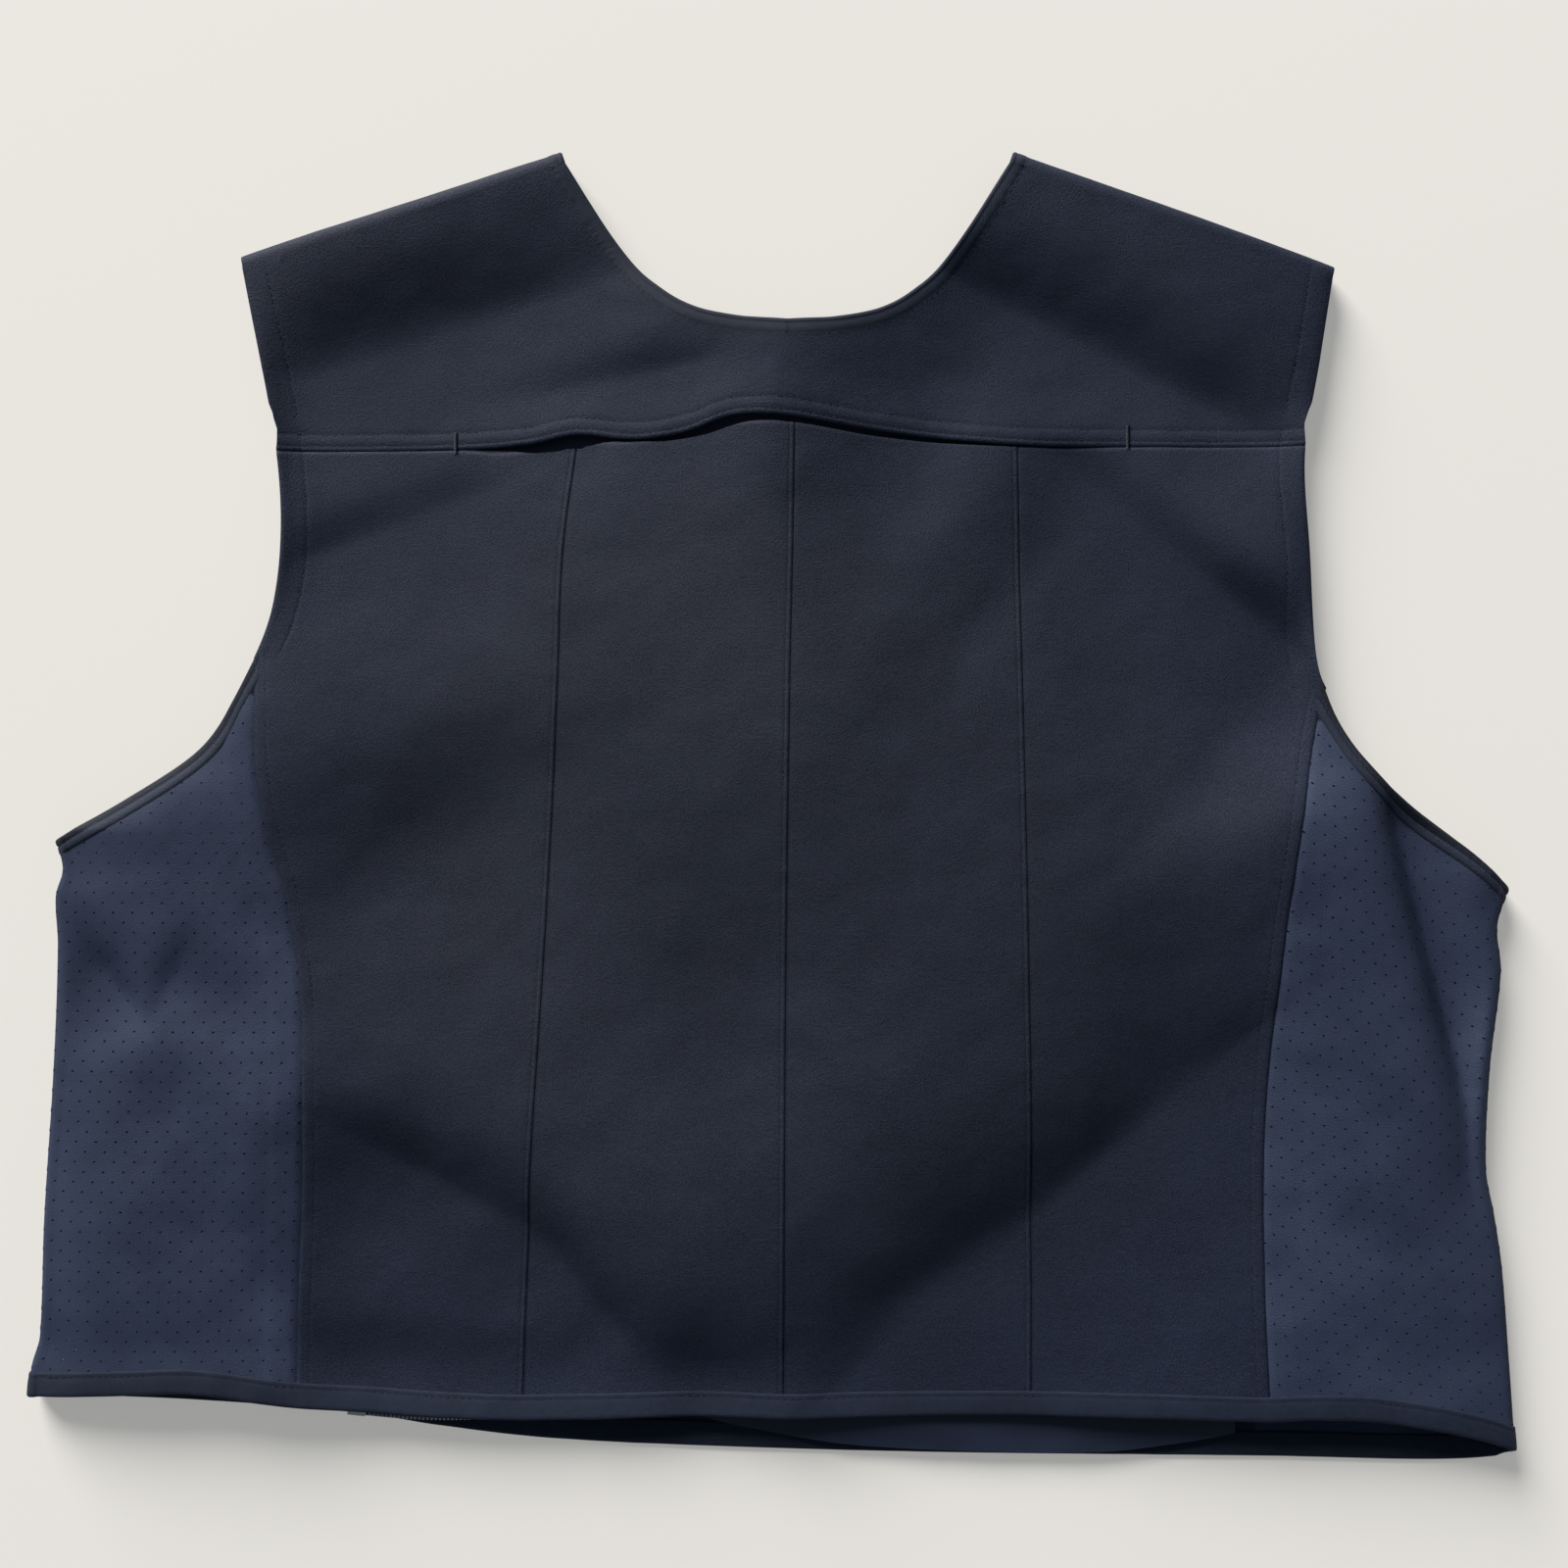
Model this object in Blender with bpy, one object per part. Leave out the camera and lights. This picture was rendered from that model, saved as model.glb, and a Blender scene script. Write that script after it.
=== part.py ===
# Armor carrier vest, laid flat with its back up and its front underneath.
# Metres, +Z up. The collar is towards +Y, the hem towards -Y, the wearer's left towards -X.
# The origin is on the surface that the vest lies on, under the middle of its outline.
# The back cloth stands clear of the front, so the body, neck and arm openings stay open.

import bisect
import functools
import math
from collections import namedtuple

import bmesh
import bpy
from mathutils import Vector

# Cloth thicknesses: twill, eyelet mesh, pocket cloth, and the folded bands along the edges.
TWILL = 0.0014
MESH = 0.0012
LINING = 0.0010
BAND = 0.0020
SEAM_GAP = 0.0004

# Heights above the surface, measured to the middle of the cloth.
FRONT_LIFT = TWILL / 2
FOLD_RADIUS = 0.0052
FOLD_TOP = FRONT_LIFT + 2 * FOLD_RADIUS

# How far the back rises over its sides, within what distance of them, and the shares of that rise
# left at the hem and at the shoulders, with the heights between which it changes.
CROWN = 0.0092
EDGE_EASE = 0.016
HEM_CROWN = 0.40
HEM_RISE = (-0.262, -0.130)
SHOULDER_CROWN = 0.42
SHOULDER_FALL = (0.110, 0.262)

# Bands, edges and openings.
HEM_WIDTH = 0.0100
EDGE_BAND_WIDTH = 0.0072
UNDERARM_SHY = 0.0020
FRONT_YOKE_DEPTH = 0.040
FRONT_NECK_DEPTH = 0.118
FRONT_ARMHOLE_INSET = 0.004
ARMHOLE_INSET_EASE = 0.020

# The sewn-in creases, and the usual distance between two of them.
TUCK_WIDTH = 0.0026
TUCK_HEIGHT = 0.0009
TUCK_SPACING = 0.100

# Heights at which the width of the lower edge and of the yoke's edge are read.
BODY_LOW_Y = -0.235
YOKE_SIDE_Y = 0.148

# Share of a side seam's length above which the rows of a grid draw closer.
NEAR_SEAM_TOP = 0.88

LEFT, RIGHT = -1, 1
SIDES = (LEFT, RIGHT)
SHARP_ANGLE = 30

SideRow = namedtuple("SideRow", "y x")
LineRow = namedtuple("LineRow", "x y")
NeckRow = namedtuple("NeckRow", "height half_width")
TuckRow = namedtuple("TuckRow", "y left middle right")
FoldRow = namedtuple("FoldRow", "x0 y0 x1 y1 depth near far")
RippleRow = namedtuple("RippleRow", "height per_x per_y phase")

# Free edge of the back at each armhole, from the underarm point to the shoulder tip.
ARMHOLE = {
    LEFT: (
        SideRow(-0.011, -0.2940),
        SideRow(0.005, -0.2655),
        SideRow(0.025, -0.2353),
        SideRow(0.045, -0.2205),
        SideRow(0.065, -0.2090),
        SideRow(0.085, -0.2026),
        SideRow(0.115, -0.1999),
        SideRow(0.145, -0.2018),
        SideRow(0.185, -0.2086),
        SideRow(0.226, -0.2163),
    ),
    RIGHT: (
        SideRow(-0.031, 0.3022),
        SideRow(-0.015, 0.2853),
        SideRow(0.005, 0.2602),
        SideRow(0.025, 0.2403),
        SideRow(0.045, 0.2272),
        SideRow(0.065, 0.2216),
        SideRow(0.105, 0.2188),
        SideRow(0.145, 0.2168),
        SideRow(0.185, 0.2232),
        SideRow(0.223, 0.2293),
    ),
}

# Outermost line of each side, where the mesh turns under, from the hem to the underarm point.
SIDE_FOLD = {
    LEFT: (
        SideRow(-0.240, -0.3048),
        SideRow(-0.227, -0.3033),
        SideRow(-0.215, -0.2999),
        SideRow(-0.166, -0.2977),
        SideRow(-0.106, -0.2945),
        SideRow(-0.055, -0.2929),
        SideRow(-0.035, -0.2937),
        SideRow(-0.024, -0.2908),
        SideRow(-0.011, -0.2940),
    ),
    RIGHT: (
        SideRow(-0.264, 0.3048),
        SideRow(-0.227, 0.3023),
        SideRow(-0.187, 0.2990),
        SideRow(-0.166, 0.2958),
        SideRow(-0.146, 0.2922),
        SideRow(-0.106, 0.2938),
        SideRow(-0.066, 0.2986),
        SideRow(-0.047, 0.2972),
        SideRow(-0.031, 0.3022),
    ),
}

# Seam between the twill back and the mesh side, from the hem to where it meets the armhole.
SIDE_SEAM = {
    LEFT: (
        SideRow(-0.245, -0.1932),
        SideRow(-0.192, -0.1919),
        SideRow(-0.131, -0.1898),
        SideRow(-0.076, -0.1907),
        SideRow(-0.034, -0.1973),
        SideRow(-0.010, -0.2040),
        SideRow(0.018, -0.2085),
        SideRow(0.048, -0.2098),
        SideRow(0.062, -0.2104),
    ),
    RIGHT: (
        SideRow(-0.245, 0.2023),
        SideRow(-0.192, 0.2009),
        SideRow(-0.131, 0.2019),
        SideRow(-0.076, 0.2059),
        SideRow(-0.034, 0.2098),
        SideRow(0.008, 0.2160),
        SideRow(0.032, 0.2212),
        SideRow(0.050, 0.2256),
    ),
}

# The three sewn-in creases of the back.
TUCKS = (
    TuckRow(-0.240, -0.1025, 0.0040, 0.1055),
    TuckRow(-0.180, -0.1004, 0.0043, 0.1056),
    TuckRow(-0.070, -0.0944, 0.0050, 0.1035),
    TuckRow(0.050, -0.0880, 0.0066, 0.1015),
    TuckRow(0.106, -0.0858, 0.0078, 0.1006),
    TuckRow(0.152, -0.0800, 0.0085, 0.0999),
)

# The yoke's lower edge and the back's upper edge. They part between the slot's ends, where the
# yoke's edge gapes a little, and a facing under both closes the slot.
SLOT_LEFT = -0.1275
SLOT_RIGHT = 0.1465
SLOT_GAPE = 0.0012
SLOT_END_EASE = 0.030
SLOT_RISE_WIDTH = 0.024
FACING_LAP = 0.0120
FACING_OVERHANG = 0.0060
FACING_CLEARANCE = 0.00064
YOKE_EDGE = (
    LineRow(-0.2030, 0.1470),
    LineRow(-0.1275, 0.1482),
    LineRow(-0.1000, 0.1500),
    LineRow(-0.0800, 0.1538),
    LineRow(-0.0560, 0.1515),
    LineRow(-0.0360, 0.1540),
    LineRow(-0.0160, 0.1603),
    LineRow(0.0060, 0.1600),
    LineRow(0.0450, 0.1548),
    LineRow(0.0960, 0.1503),
    LineRow(0.1465, 0.1494),
    LineRow(0.2170, 0.1489),
)
BACK_TOP = (
    LineRow(-0.2030, 0.1466),
    LineRow(-0.1275, 0.1474),
    LineRow(-0.1100, 0.1462),
    LineRow(-0.0800, 0.1502),
    LineRow(-0.0560, 0.1502),
    LineRow(-0.0360, 0.1524),
    LineRow(-0.0160, 0.1568),
    LineRow(0.0060, 0.1570),
    LineRow(0.0450, 0.1524),
    LineRow(0.0960, 0.1492),
    LineRow(0.1465, 0.1488),
    LineRow(0.2170, 0.1485),
)

# Back neckline, as half widths at heights above its lowest point. From NECK_TIP on, as a share of
# the way to the shoulder, it bends over to meet the shoulder's fold.
NECK_MIDDLE = 0.0062
NECK_LOW = 0.1990
NECK_TIP = 0.8
NECKLINE = (
    NeckRow(0.0000, 0.0000),
    NeckRow(0.0012, 0.0180),
    NeckRow(0.0056, 0.0375),
    NeckRow(0.0155, 0.0540),
    NeckRow(0.0255, 0.0642),
    NeckRow(0.0455, 0.0786),
    NeckRow(0.0690, 0.0922),
)

# Shoulder folds, each from the armhole tip to the neck tip.
SHOULDER = {
    LEFT: (Vector((-0.2168, 0.2266)), Vector((-0.0856, 0.2680))),
    RIGHT: (Vector((0.2300, 0.2226)), Vector((0.0982, 0.2680))),
}

# Where the yoke's shoulders divide from its middle: at the armhole, and beside the middle below.
SHOULDER_ROOT_Y = {LEFT: 0.204, RIGHT: 0.202}
SHOULDER_ROOT_X = {LEFT: -0.060, RIGHT: 0.072}
NECK_ROOT = 0.42

# Lower edge of the hem, on the back and on the front that lies underneath it.
BACK_HEM = (
    LineRow(-0.3040, -0.2390),
    LineRow(-0.2620, -0.2370),
    LineRow(-0.2320, -0.2365),
    LineRow(-0.1950, -0.2420),
    LineRow(-0.1400, -0.2450),
    LineRow(-0.0600, -0.2465),
    LineRow(0.0050, -0.2480),
    LineRow(0.1500, -0.2480),
    LineRow(0.2000, -0.2487),
    LineRow(0.2220, -0.2478),
    LineRow(0.2450, -0.2485),
    LineRow(0.2680, -0.2520),
    LineRow(0.2900, -0.2570),
    LineRow(0.3045, -0.2620),
)
FRONT_HEM = (
    LineRow(-0.3040, -0.2410),
    LineRow(-0.2400, -0.2434),
    LineRow(-0.1720, -0.2488),
    LineRow(-0.1380, -0.2540),
    LineRow(-0.0980, -0.2588),
    LineRow(-0.0460, -0.2618),
    LineRow(0.0600, -0.2650),
    LineRow(0.2100, -0.2668),
    LineRow(0.2600, -0.2680),
    LineRow(0.2850, -0.2678),
    LineRow(0.3045, -0.2662),
)

# Lower edge of the front's pocket cloth. Its middle bags out as far as the front hem.
LINING_EDGE = (
    LineRow(-0.1740, -0.2360),
    LineRow(-0.1200, -0.2390),
    LineRow(-0.0600, -0.2400),
    LineRow(-0.0215, -0.2515),
    LineRow(0.0290, -0.2605),
    LineRow(0.0700, -0.2632),
    LineRow(0.1360, -0.2640),
    LineRow(0.1750, -0.2590),
    LineRow(0.2030, -0.2530),
)
LINING_TOP = 0.118
LINING_INSET = 0.012
LINING_BAG = 0.0010
BAG_SHARE = 0.3
HEM_STEP_EASE = 0.008
HEM_STEP_SHARE = 0.12

# The pocket's zip, along the left part of the front hem, on the folded band.
ZIP_LINE = (
    LineRow(-0.1748, -0.2474),
    LineRow(-0.1500, -0.2496),
    LineRow(-0.1220, -0.2498),
    LineRow(-0.0700, -0.2445),
)
ZIP_TAPE = 0.0010
ZIP_TAPE_WIDTH = 0.0052
ZIP_TAPE_SHIFT = 0.0014
COIL_WIDTH = 0.0022
COIL_HEIGHT = 0.0016
STOP_LENGTH = 0.0076
STOP_WIDTH = 0.0026
STOP_BEVEL = 0.0003
SLIDER_LENGTH = 0.0090
SLIDER_WIDTH = 0.0060
SLIDER_HEIGHT = 0.0036
SLIDER_BEVEL = 0.0006

# Soft valleys of the back. Each runs from one end to the other, and falls away over "near" on the
# left of that direction and over "far" on its right. A negative depth is a ridge.
FOLDS = (
    FoldRow(-0.205, 0.186, -0.085, 0.228, 0.0042, 0.017, 0.019),
    FoldRow(-0.100, 0.181, -0.030, 0.193, 0.0028, 0.011, 0.015),
    FoldRow(0.080, 0.215, 0.200, 0.170, 0.0040, 0.016, 0.016),
    FoldRow(-0.188, 0.106, -0.115, 0.132, 0.0028, 0.013, 0.016),
    FoldRow(0.130, 0.135, 0.208, 0.070, 0.0034, 0.018, 0.014),
    FoldRow(-0.205, -0.022, -0.100, 0.060, 0.0044, 0.034, 0.026),
    FoldRow(0.015, -0.230, 0.192, -0.086, 0.0062, 0.028, 0.007),
    FoldRow(0.024, -0.238, 0.202, -0.095, -0.0020, 0.008, 0.022),
    FoldRow(-0.180, -0.130, -0.095, -0.170, 0.0038, 0.018, 0.010),
    FoldRow(-0.098, -0.172, -0.058, -0.222, 0.0042, 0.016, 0.012),
    FoldRow(-0.178, -0.218, -0.100, -0.226, 0.0030, 0.012, 0.014),
    FoldRow(0.010, -0.070, 0.030, -0.150, 0.0020, 0.030, 0.030),
    FoldRow(0.246, 0.000, 0.286, -0.140, 0.0062, 0.015, 0.006),
    FoldRow(-0.286, -0.046, -0.246, -0.082, 0.0042, 0.013, 0.011),
    FoldRow(-0.255, -0.090, -0.200, -0.220, 0.0022, 0.012, 0.016),
)

# The slight unevenness of cloth that lies by itself, as waves with their turns per metre.
RIPPLES = (
    RippleRow(0.00060, 31, 17, 0.6),
    RippleRow(0.00060, 23, -37, 2.1),
    RippleRow(0.00036, 71, 9, 0.0),
)


def through(rows):
    """A smooth function that passes through (place, value) rows and stays level past their ends."""
    places = [row[0] for row in rows]
    values = [row[1] for row in rows]
    last = len(rows) - 1
    slopes = []
    for i in range(len(rows)):
        before, after = max(i - 1, 0), min(i + 1, last)
        slopes.append((values[after] - values[before]) / (places[after] - places[before]))

    def value_at(place):
        place = min(max(place, places[0]), places[last])
        i = min(bisect.bisect_right(places, place) - 1, last - 1)
        span = places[i + 1] - places[i]
        t = (place - places[i]) / span
        start = values[i] * (1 + 2 * t) * (1 - t) ** 2 + slopes[i] * span * t * (1 - t) ** 2
        end = values[i + 1] * (3 - 2 * t) * t**2 - slopes[i + 1] * span * (1 - t) * t**2
        return start + end

    return value_at


def mixed(a, b, share):
    return a * (1 - share) + b * share


def eased(value, low, high):
    """0 below low, 1 above high, and a smooth rise between them."""
    t = min(max((value - low) / (high - low), 0), 1)
    return t * t * (3 - 2 * t)


def spread(start, end, count):
    return [mixed(start, end, i / count) for i in range(count + 1)]


def root(function, low, high):
    """Where a rising function of one number passes zero between two places."""
    for _ in range(30):
        middle = (low + high) / 2
        if function(middle) < 0:
            low = middle
        else:
            high = middle
    return (low + high) / 2


armhole_x = {side: through(rows) for side, rows in ARMHOLE.items()}
fold_x = {side: through(rows) for side, rows in SIDE_FOLD.items()}
seam_x = {side: through(rows) for side, rows in SIDE_SEAM.items()}
seam_top = {side: rows[-1].y for side, rows in SIDE_SEAM.items()}
underarm_y = {side: rows[0].y for side, rows in ARMHOLE.items()}
yoke_edge_y = through(YOKE_EDGE)
back_top_y = through(BACK_TOP)
back_hem_y = through(BACK_HEM)
front_hem_y = through(FRONT_HEM)
lining_edge_y = through(LINING_EDGE)
zip_y = through(ZIP_LINE)
neck_half_width = through(NECKLINE)
tuck_x = [through([(row.y, place) for row, place in zip(TUCKS, line)]) for line in list(zip(*TUCKS))[1:]]


def fold_start(side, y):
    """Where the mesh on the back begins to turn under, inside the outermost line."""
    return fold_x[side](y) - side * (FOLD_RADIUS + MESH / 2)


def outline_x(side, y):
    """The side of the back cloth at a height: the armhole's edge, or the turn of the mesh below it."""
    if y > underarm_y[side]:
        return side * min(side * armhole_x[side](y), side * fold_start(side, y))
    return fold_start(side, y)


def valley(row, x, y):
    """How far one fold lowers the cloth at a point."""
    run_x, run_y = row.x1 - row.x0, row.y1 - row.y0
    length = math.hypot(run_x, run_y)
    place = ((x - row.x0) * run_x + (y - row.y0) * run_y) / length**2
    across = (run_x * (y - row.y0) - run_y * (x - row.x0)) / length
    width = row.near if across > 0 else row.far
    reach = min(row.near, row.far) / length
    ends = eased(place, -reach, 2 * reach) * (1 - eased(place, 1 - 2 * reach, 1 + reach))
    return row.depth * ends * math.exp(-((across / width) ** 2))


def loft(x, y):
    """Height of the middle of the back cloth: a low crown, less its valleys, down to the edges."""
    inside = min(x - outline_x(LEFT, y), outline_x(RIGHT, y) - x)
    ease = 1 - math.exp(-max(inside, 0) / EDGE_EASE)
    low_end = mixed(HEM_CROWN, 1, eased(y, *HEM_RISE))
    high_end = mixed(1, SHOULDER_CROWN, eased(y, *SHOULDER_FALL))
    lowered = sum(valley(row, x, y) for row in FOLDS)
    rippled = sum(row.height * math.sin(row.per_x * x + row.per_y * y + row.phase) for row in RIPPLES)
    return FOLD_TOP + rippled + ease * (CROWN * low_end * high_end - lowered)


def slot_gape(x, y):
    """How far the yoke's free edge stands up between the slot's ends."""
    from_end = min(x - SLOT_LEFT, SLOT_RIGHT - x)
    return SLOT_GAPE * eased(from_end, 0, SLOT_END_EASE) * (1 - eased(y - yoke_edge_y(x), 0, SLOT_RISE_WIDTH))


def on_back(point):
    return Vector((point.x, point.y, loft(point.x, point.y)))


def on_yoke(point):
    return on_back(point) + Vector((0, 0, slot_gape(point.x, point.y)))


def on_front(point, lift=FRONT_LIFT):
    return Vector((point.x, point.y, lift))


def turned_under(point, top, turn, outward, bottom=FRONT_LIFT, radius=FOLD_RADIUS):
    """A point on a fold: turn 0 on the back at the top height, 1 underneath at the bottom height."""
    angle = math.pi * turn
    flat = point + outward * (radius * math.sin(angle))
    return Vector((flat.x, flat.y, (top + bottom) / 2 + (top - bottom) / 2 * math.cos(angle)))


def patch(south, north, west, east, u, v):
    """A point of the flat patch inside four edge curves. u runs west to east, v south to north."""
    corners = mixed(mixed(south(0), south(1), u), mixed(north(0), north(1), u), v)
    return mixed(south(u), north(u), v) + mixed(west(v), east(v), u) - corners


def material(name, colour, roughness, metallic=0.0):
    made = bpy.data.materials.new(name)
    made.use_nodes = True
    shader = made.node_tree.nodes["Principled BSDF"]
    shader.inputs["Base Color"].default_value = (*colour, 1.0)
    shader.inputs["Roughness"].default_value = roughness
    shader.inputs["Metallic"].default_value = metallic
    return made


def navy_twill():
    return material("navy_twill", colour=(0.020, 0.024, 0.036), roughness=0.85)


def navy_band_twill():
    return material("navy_band_twill", colour=(0.014, 0.018, 0.030), roughness=0.85)


def navy_mesh():
    return material("navy_mesh", colour=(0.030, 0.037, 0.062), roughness=0.75)


def navy_lining():
    return material("navy_lining", colour=(0.010, 0.014, 0.032), roughness=0.60)


def zip_coil_nylon():
    return material("zip_coil_nylon", colour=(0.080, 0.090, 0.110), roughness=0.40)


def zip_metal():
    return material("zip_metal", colour=(0.420, 0.420, 0.400), roughness=0.35, metallic=1.0)


def finish_piece(bm, name, surface):
    """Turns a mesh in the making into a named, smooth-shaded piece."""
    bmesh.ops.recalc_face_normals(bm, faces=bm.faces[:])
    mesh = bpy.data.meshes.new(name)
    bm.to_mesh(mesh)
    bm.free()
    mesh.shade_smooth()
    mesh.set_sharp_from_angle(angle=math.radians(SHARP_ANGLE))
    mesh.materials.append(surface)
    piece = bpy.data.objects.new(name, mesh)
    bpy.context.scene.collection.objects.link(piece)


def normal_of(middle, u, v):
    """The upward side of a bent cloth at one place, from its slopes along and across."""
    step = 0.004
    along = middle(u + step, v) - middle(u - step, v)
    across = middle(u, v + step) - middle(u, v - step)
    return along.cross(across).normalized()


def cloth(name, surface, columns, rows, middle, thickness, kept=None, raised=None):
    """A grid bent onto the middle of a cloth and thickened both ways along its normals.

    middle(u, v) gives the place, kept(u, v) leaves cells out, and raised(u, v) adds to the face side.
    """
    bm = bmesh.new()
    across, along = len(columns) - 1, len(rows) - 1
    bmesh.ops.create_grid(bm, x_segments=across, y_segments=along, size=1)
    u_layer = bm.verts.layers.float.new("u")
    v_layer = bm.verts.layers.float.new("v")
    for vert in bm.verts:
        vert[u_layer] = columns[round((vert.co.x + 1) / 2 * across)]
        vert[v_layer] = rows[round((vert.co.y + 1) / 2 * along)]
    if kept:
        left_out = []
        for face in bm.faces:
            u = sum(vert[u_layer] for vert in face.verts) / len(face.verts)
            v = sum(vert[v_layer] for vert in face.verts) / len(face.verts)
            if not kept(u, v):
                left_out.append(face)
        bmesh.ops.delete(bm, geom=left_out, context="FACES")
    for vert in bm.verts:
        vert.co = middle(vert[u_layer], vert[v_layer])
    bmesh.ops.remove_doubles(bm, verts=bm.verts[:], dist=1e-6)
    extruded = bmesh.ops.extrude_face_region(bm, geom=bm.faces[:])["geom"]
    face_side = {item for item in extruded if isinstance(item, bmesh.types.BMVert)}
    for vert in bm.verts:
        u, v = vert[u_layer], vert[v_layer]
        offset = -thickness / 2
        if vert in face_side:
            offset = thickness / 2 + (raised(u, v) if raised else 0)
        vert.co = middle(u, v) + normal_of(middle, u, v) * offset
    finish_piece(bm, name, surface)


def flat_cloth(name, surface, outline, low, high):
    """A flat piece cut to an outline, between two heights."""
    bm = bmesh.new()
    corners = [bm.verts.new((point.x, point.y, low)) for point in outline]
    face = bm.faces.new(corners)
    extruded = bmesh.ops.extrude_face_region(bm, geom=[face])["geom"]
    risen = [item for item in extruded if isinstance(item, bmesh.types.BMVert)]
    bmesh.ops.translate(bm, vec=(0, 0, high - low), verts=risen)
    finish_piece(bm, name, surface)


def block(name, surface, centre, size, heading, bevel):
    """A small block with rounded edges, turned in the plane to a heading."""
    bm = bmesh.new()
    bmesh.ops.create_cube(bm, size=1)
    bmesh.ops.scale(bm, vec=size, verts=bm.verts[:])
    bmesh.ops.bevel(bm, geom=bm.edges[:], offset=bevel, offset_type="OFFSET", segments=1, profile=0.5,
                    affect="EDGES", material=-1)
    finish_piece(bm, name, surface)
    piece = bpy.data.objects[name]
    piece.location = centre
    piece.rotation_euler = (0, 0, heading)


def hem_turn_y(side, w):
    """Height of the hem's lower edge at a corner: w 0 on the back and 1 on the front."""
    x = fold_x[side](BACK_HEM[0].y) - side * FOLD_RADIUS
    return mixed(back_hem_y(x), front_hem_y(x), w)


def back_side_x(side, y):
    """Side of the twill back: the seam with the mesh, and the armhole above it."""
    line = seam_x if y <= seam_top[side] else armhole_x
    return line[side](y) - side * SEAM_GAP / 2


def front_side_x(side, y):
    """Side of the front: the same seam, and an armhole edge a little inside the back's."""
    above = eased(y, seam_top[side], seam_top[side] + ARMHOLE_INSET_EASE)
    return back_side_x(side, y) - side * FRONT_ARMHOLE_INSET * above


def back_panel(surface):
    """The twill back: four widths with three sewn-in creases, from the hem band to the yoke."""
    ridge = TUCK_WIDTH / 2 / TUCK_SPACING
    on_ridge, beside_ridge = 0.8 * ridge, 1.5 * ridge

    def row_y(share, v):
        """Height of a row: v 0 at the hem, 1 between the seams' tops, 2 at the yoke."""
        crossing = mixed(seam_top[LEFT], seam_top[RIGHT], share)
        if v <= 1:
            x = mixed(back_side_x(LEFT, BODY_LOW_Y), back_side_x(RIGHT, BODY_LOW_Y), share)
            return mixed(back_hem_y(x) + HEM_WIDTH + SEAM_GAP, crossing, v)
        x = mixed(back_side_x(LEFT, YOKE_SIDE_Y), back_side_x(RIGHT, YOKE_SIDE_Y), share)
        return mixed(crossing, back_top_y(x), v - 1)

    def middle(u, v):
        """u counts the four widths: 0 and 4 are the sides, and 1, 2 and 3 the creases."""
        y = row_y(u / 4, v)
        lines = [back_side_x(LEFT, y), *(line(y) for line in tuck_x), back_side_x(RIGHT, y)]
        width = min(max(int(u), 0), 3)
        return on_back(Vector((mixed(lines[width], lines[width + 1], u - width), y)))

    def raised(u, v):
        return TUCK_HEIGHT if min(abs(u - crease) for crease in (1, 2, 3)) < ridge else 0

    columns = [0]
    for crease in (1, 2, 3):
        columns += spread(columns[-1], crease - beside_ridge, 5)[1:]
        columns += [crease - on_ridge, crease + on_ridge, crease + beside_ridge]
    columns += spread(columns[-1], 4, 5)[1:]
    rows = spread(0, NEAR_SEAM_TOP, 14) + spread(NEAR_SEAM_TOP, 1, 4)[1:] + spread(1, 2, 5)[1:]
    cloth("back_panel", surface, columns, rows, middle, TWILL, raised=raised)


def shoulder_line(side, inset):
    """Start of the shoulder's turn on the back, from armhole to neck, and the way out across it.

    The neck end is moved towards the arm by an inset.
    """
    tip, neck = SHOULDER[side]
    along = (neck - tip).normalized()
    outward = Vector((-along.y, along.x)) * -side
    shy = outward * (FOLD_RADIUS + TWILL / 2)
    return tip - shy, neck - shy - along * inset, outward


def back_neck(place, inset):
    """A point of the back neckline, moved away from the neck by an inset.

    place runs from -1 at the left shoulder through 0 at the lowest point to 1 at the right.
    """
    side = LEFT if place < 0 else RIGHT
    neck = shoulder_line(side, inset)[1]
    height = (shoulder_line(side, 0)[1].y - NECK_LOW) * place**2
    step = 0.0004
    rise = max(height, step)
    slope = (neck_half_width(rise + step) - neck_half_width(rise - step)) / (2 * step)
    away = Vector((side * min(1, height / step), -slope)).normalized()
    point = Vector((NECK_MIDDLE + side * neck_half_width(height), NECK_LOW + height)) + away * inset
    return mixed(point, neck, eased(abs(place), NECK_TIP, 1))


def front_neck(share, inset):
    """A point of the front neckline, from the right shoulder at 0 to the left at 1."""
    angle = math.pi * share
    ends = [shoulder_line(side, inset)[1] for side in (RIGHT, LEFT)]
    point = mixed(*ends, (1 - math.cos(angle)) / 2)
    return point - Vector((0, (FRONT_NECK_DEPTH + inset) * math.sin(angle)))


def front_yoke_end():
    """Share of the front neckline that each side of the yoke covers, counted from its shoulder."""
    return math.asin(FRONT_YOKE_DEPTH / FRONT_NECK_DEPTH) / math.pi


def shoulder_turn(side, start, turn):
    outward = shoulder_line(side, 0)[2]
    return turned_under(start, loft(start.x, start.y), turn, outward)


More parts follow.
